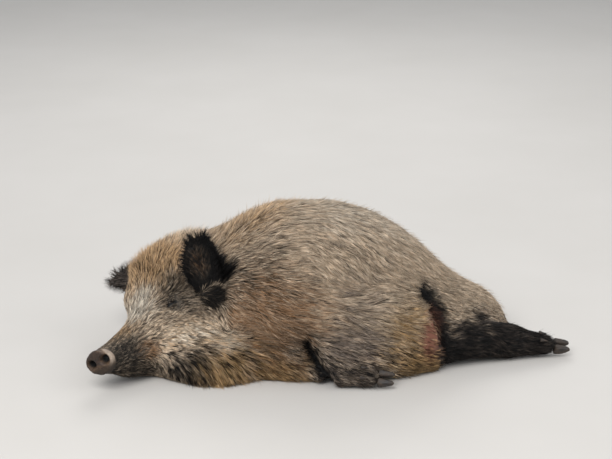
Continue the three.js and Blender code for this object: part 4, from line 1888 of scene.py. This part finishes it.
    @staticmethod
    def locks(places: Array, flow: Array, apart: float) -> tuple[Array, Array]:
        """Gathers roots into locks, drawn out along the lie of the hair.

        Args:
            places: The roots.
            flow: The lie of the hair at each.
            apart: How far apart the locks are.

        Returns:
            Each root's lock, and the way from the root to the middle of its lock.
        """
        lie = flow.mean(axis=0)
        squeezed = places - 0.7 * (places @ lie)[:, None] * lie
        cell = np.floor(squeezed / apart).astype(np.int64) @ SCRAMBLE
        first = np.unique(cell, return_index=True)[1]
        centres = KDTree(len(first))
        for i, at in enumerate(first):
            centres.insert(Vector(squeezed[at]), i)
        centres.balance()
        lock = np.array([centres.find(Vector(p))[1] for p in squeezed])
        return lock, places[first[lock]] - places

    @staticmethod
    def woven(name: str, verts: Array, count: int) -> bpy.types.Mesh:
        """Joins the tufts.

        Args:
            name: The mesh's name.
            verts: The tufts' vertices.
            count: How many tufts.

        Returns:
            One mesh of all the tufts.
        """
        faces = (TUFT_FACES[None] + TUFT_CORNERS * np.arange(count)[:, None, None]).reshape(-1, 3)
        mesh = bpy.data.meshes.new(name)
        mesh.vertices.add(len(verts))
        mesh.vertices.foreach_set("co", verts.astype(np.float32).ravel())
        mesh.loops.add(faces.size)
        mesh.loops.foreach_set("vertex_index", faces.astype(np.int32).ravel())
        mesh.polygons.add(len(faces))
        mesh.polygons.foreach_set("loop_start", np.arange(0, faces.size, 3, dtype=np.int32))
        smooth_shaded(mesh)
        mesh.update(calc_edges=True)
        return mesh

    def place_patches(self, mesh: bpy.types.Mesh, flat: Array) -> None:
        """Gives each tuft a small patch of the bake map at its root's place.

        Args:
            mesh: The tufts.
            flat: The roots' places in the skin's layout.
        """
        across = np.array([-1, 1, 0, -1, 1, 0, 0])
        along = np.array([-1, -1, -1, 0, 0, 0, 1])
        corners = np.stack([across, along], axis=1) * (self.patch / 2)
        at = np.clip(flat, self.patch, 1 - self.patch)[:, None, :] + corners[None]
        uv = at[:, TUFT_FACES.ravel(), :].reshape(-1, 2)
        layer = mesh.uv_layers.new(name="OFBake")
        layer.data.foreach_set("uv", uv.astype(np.float32).ravel())


# ---------------------------------------------------------------- eyes and hooves


@dataclass
class Eyes:
    """Her two eyes, wet and dark behind the lids."""

    segments: int = 48
    radius: float = 0.0119

    def build(self) -> list[bpy.types.Object]:
        """Models both eyes.

        Returns:
            The eyes.
        """
        finish = EyeFinish().material()
        return [self.eye(node, finish) for node in EYES]

    def eye(self, node: str, finish: bpy.types.Material) -> bpy.types.Object:
        """Models one eye in the place of its CAD node.

        Args:
            node: The CAD node.
            finish: The eye's material.

        Returns:
            The eye.
        """
        ball = bmesh.new()
        bmesh.ops.create_uvsphere(
            ball, u_segments=self.segments, v_segments=self.segments // 2, radius=self.radius
        )
        bmesh.ops.translate(ball, verts=ball.verts, vec=middle_of(node))
        for face in ball.faces:
            face.smooth = True
        mesh = bpy.data.meshes.new(node + "_ball")
        ball.to_mesh(mesh)
        ball.free()
        made = new_object(node + "_ball", mesh, finish)
        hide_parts(node)
        return made


@dataclass
class Hooves:
    """The claws and dewclaws, in worn, rounded horn."""

    voxel: float = 0.0016
    inset: float = 0.0007
    rounds: int = 10
    rings: float = 0.0009

    def build(self) -> list[bpy.types.Object]:
        """Models each claw.

        Returns:
            The claws.
        """
        finish = HoofFinish().material()
        return [self.claw(name, finish) for name in CLAWS]

    def claw(self, node: str, finish: bpy.types.Material) -> bpy.types.Object:
        """Models one claw in the place of its CAD node, its edges worn round and its wall uneven.

        Args:
            node: The CAD node.
            finish: The claw's material.

        Returns:
            The claw.
        """
        horn = new_object("horn", cad_copy([node], -self.inset))
        remesh = horn.modifiers.new("worn", "REMESH")
        remesh.mode = "VOXEL"
        remesh.voxel_size = self.voxel
        mesh = applied(horn)
        p = diffused(coords(mesh), edges(mesh), self.rounds)
        set_coords(mesh, p)
        set_coords(mesh, p + normals(mesh) * ((mottle(p, 0.004, 9) - 0.5) * self.rings)[:, None])
        smooth_shaded(mesh)
        made = new_object(node + "_horn", mesh, finish)
        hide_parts(node)
        return made


# ---------------------------------------------------------------- studio


@dataclass(frozen=True)
class Lamp:
    """A large soft lamp that looks at the boar, in metres and watts."""

    name: str
    place: tuple[float, float, float]
    size: float
    power: float
    aim: tuple[float, float, float] = (0.0, 0.0, 0.15)

    def build(self) -> None:
        """Hangs the lamp."""
        data = bpy.data.lights.new(self.name, "AREA")
        data.shape, data.size, data.energy = "DISK", self.size, self.power
        lamp = bpy.data.objects.new(self.name, data)
        lamp.location = self.place
        towards = Vector(self.aim) - Vector(self.place)
        lamp.rotation_euler = towards.to_track_quat("-Z", "Y").to_euler()
        bpy.context.scene.collection.objects.link(lamp)


@dataclass(frozen=True)
class Studio:
    """Floor, soft light and the camera, in metres and degrees."""

    azimuth: float = -10.0
    elevation: float = 20.0
    distance: float = 4.0
    aim: tuple[float, float, float] = (-0.0467, -0.0027, 0.335)
    lens: float = 91.6
    floor_size: float = 14.0
    sky_colour: tuple[float, float, float, float] = (0.93, 0.96, 1.0, 1.0)
    sky_strength: float = 0.62
    lamps: tuple[Lamp, ...] = (
        Lamp("key", (-1.6, -2.2, 3.2), 2.6, 105.0),
        Lamp("fill", (2.6, -1.6, 2.2), 3.0, 34.0),
        Lamp("rim", (0.4, 2.8, 2.8), 2.4, 46.0),
    )

    def build(self) -> None:
        """Sets up the studio."""
        self.floor()
        self.sky()
        for lamp in self.lamps:
            lamp.build()
        self.camera()

    def floor(self) -> None:
        """Lays a plain floor."""
        slab = bmesh.new()
        bmesh.ops.create_grid(slab, x_segments=1, y_segments=1, size=self.floor_size)
        mesh = bpy.data.meshes.new("floor")
        slab.to_mesh(mesh)
        slab.free()
        new_object("floor", mesh, FloorFinish().material())

    def sky(self) -> None:
        """Lights the boar evenly from all round."""
        world = bpy.data.worlds.new("soft_sky")
        world.use_nodes = True
        ground = world.node_tree.nodes["Background"]
        ground.inputs["Color"].default_value = self.sky_colour
        ground.inputs["Strength"].default_value = self.sky_strength
        bpy.context.scene.world = world

    def camera(self) -> None:
        """Sets the camera to her left, a little ahead and above."""
        a, e = math.radians(self.azimuth), math.radians(self.elevation)
        back = Vector((math.sin(a) * math.cos(e), -math.cos(a) * math.cos(e), math.sin(e)))
        data = bpy.data.cameras.new("camera")
        data.lens, data.sensor_width = self.lens, 36.0
        camera = bpy.data.objects.new("camera", data)
        camera.location = Vector(self.aim) + back * self.distance
        camera.rotation_euler = (-back).to_track_quat("-Z", "Y").to_euler()
        bpy.context.scene.collection.objects.link(camera)
        bpy.context.scene.camera = camera
        bpy.context.scene.view_settings.view_transform = "Standard"


# ---------------------------------------------------------------- putting her together


def settle(piece: bpy.types.Object) -> None:
    """Rides a piece on the body and reports it.

    Args:
        piece: The piece.
    """
    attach(piece, "root")
    LOG.info("%s: %d triangles", piece.name, len(triangles(piece.data)))


def main() -> None:
    """Builds the boar piece by piece."""
    logging.basicConfig(level=logging.INFO, format="%(message)s")
    Studio().build()
    skin = Skin()
    hide = skin.build()
    pelt = Pelt(skin)
    Bands.keep(hide.data, pelt.marks)
    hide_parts(*FLESH)
    settle(hide)
    for piece in Coat(hide, pelt).build():
        settle(piece)
    for piece in Eyes().build():
        settle(piece)
    for piece in Hooves().build():
        settle(piece)


if __name__ == "__main__":
    main()
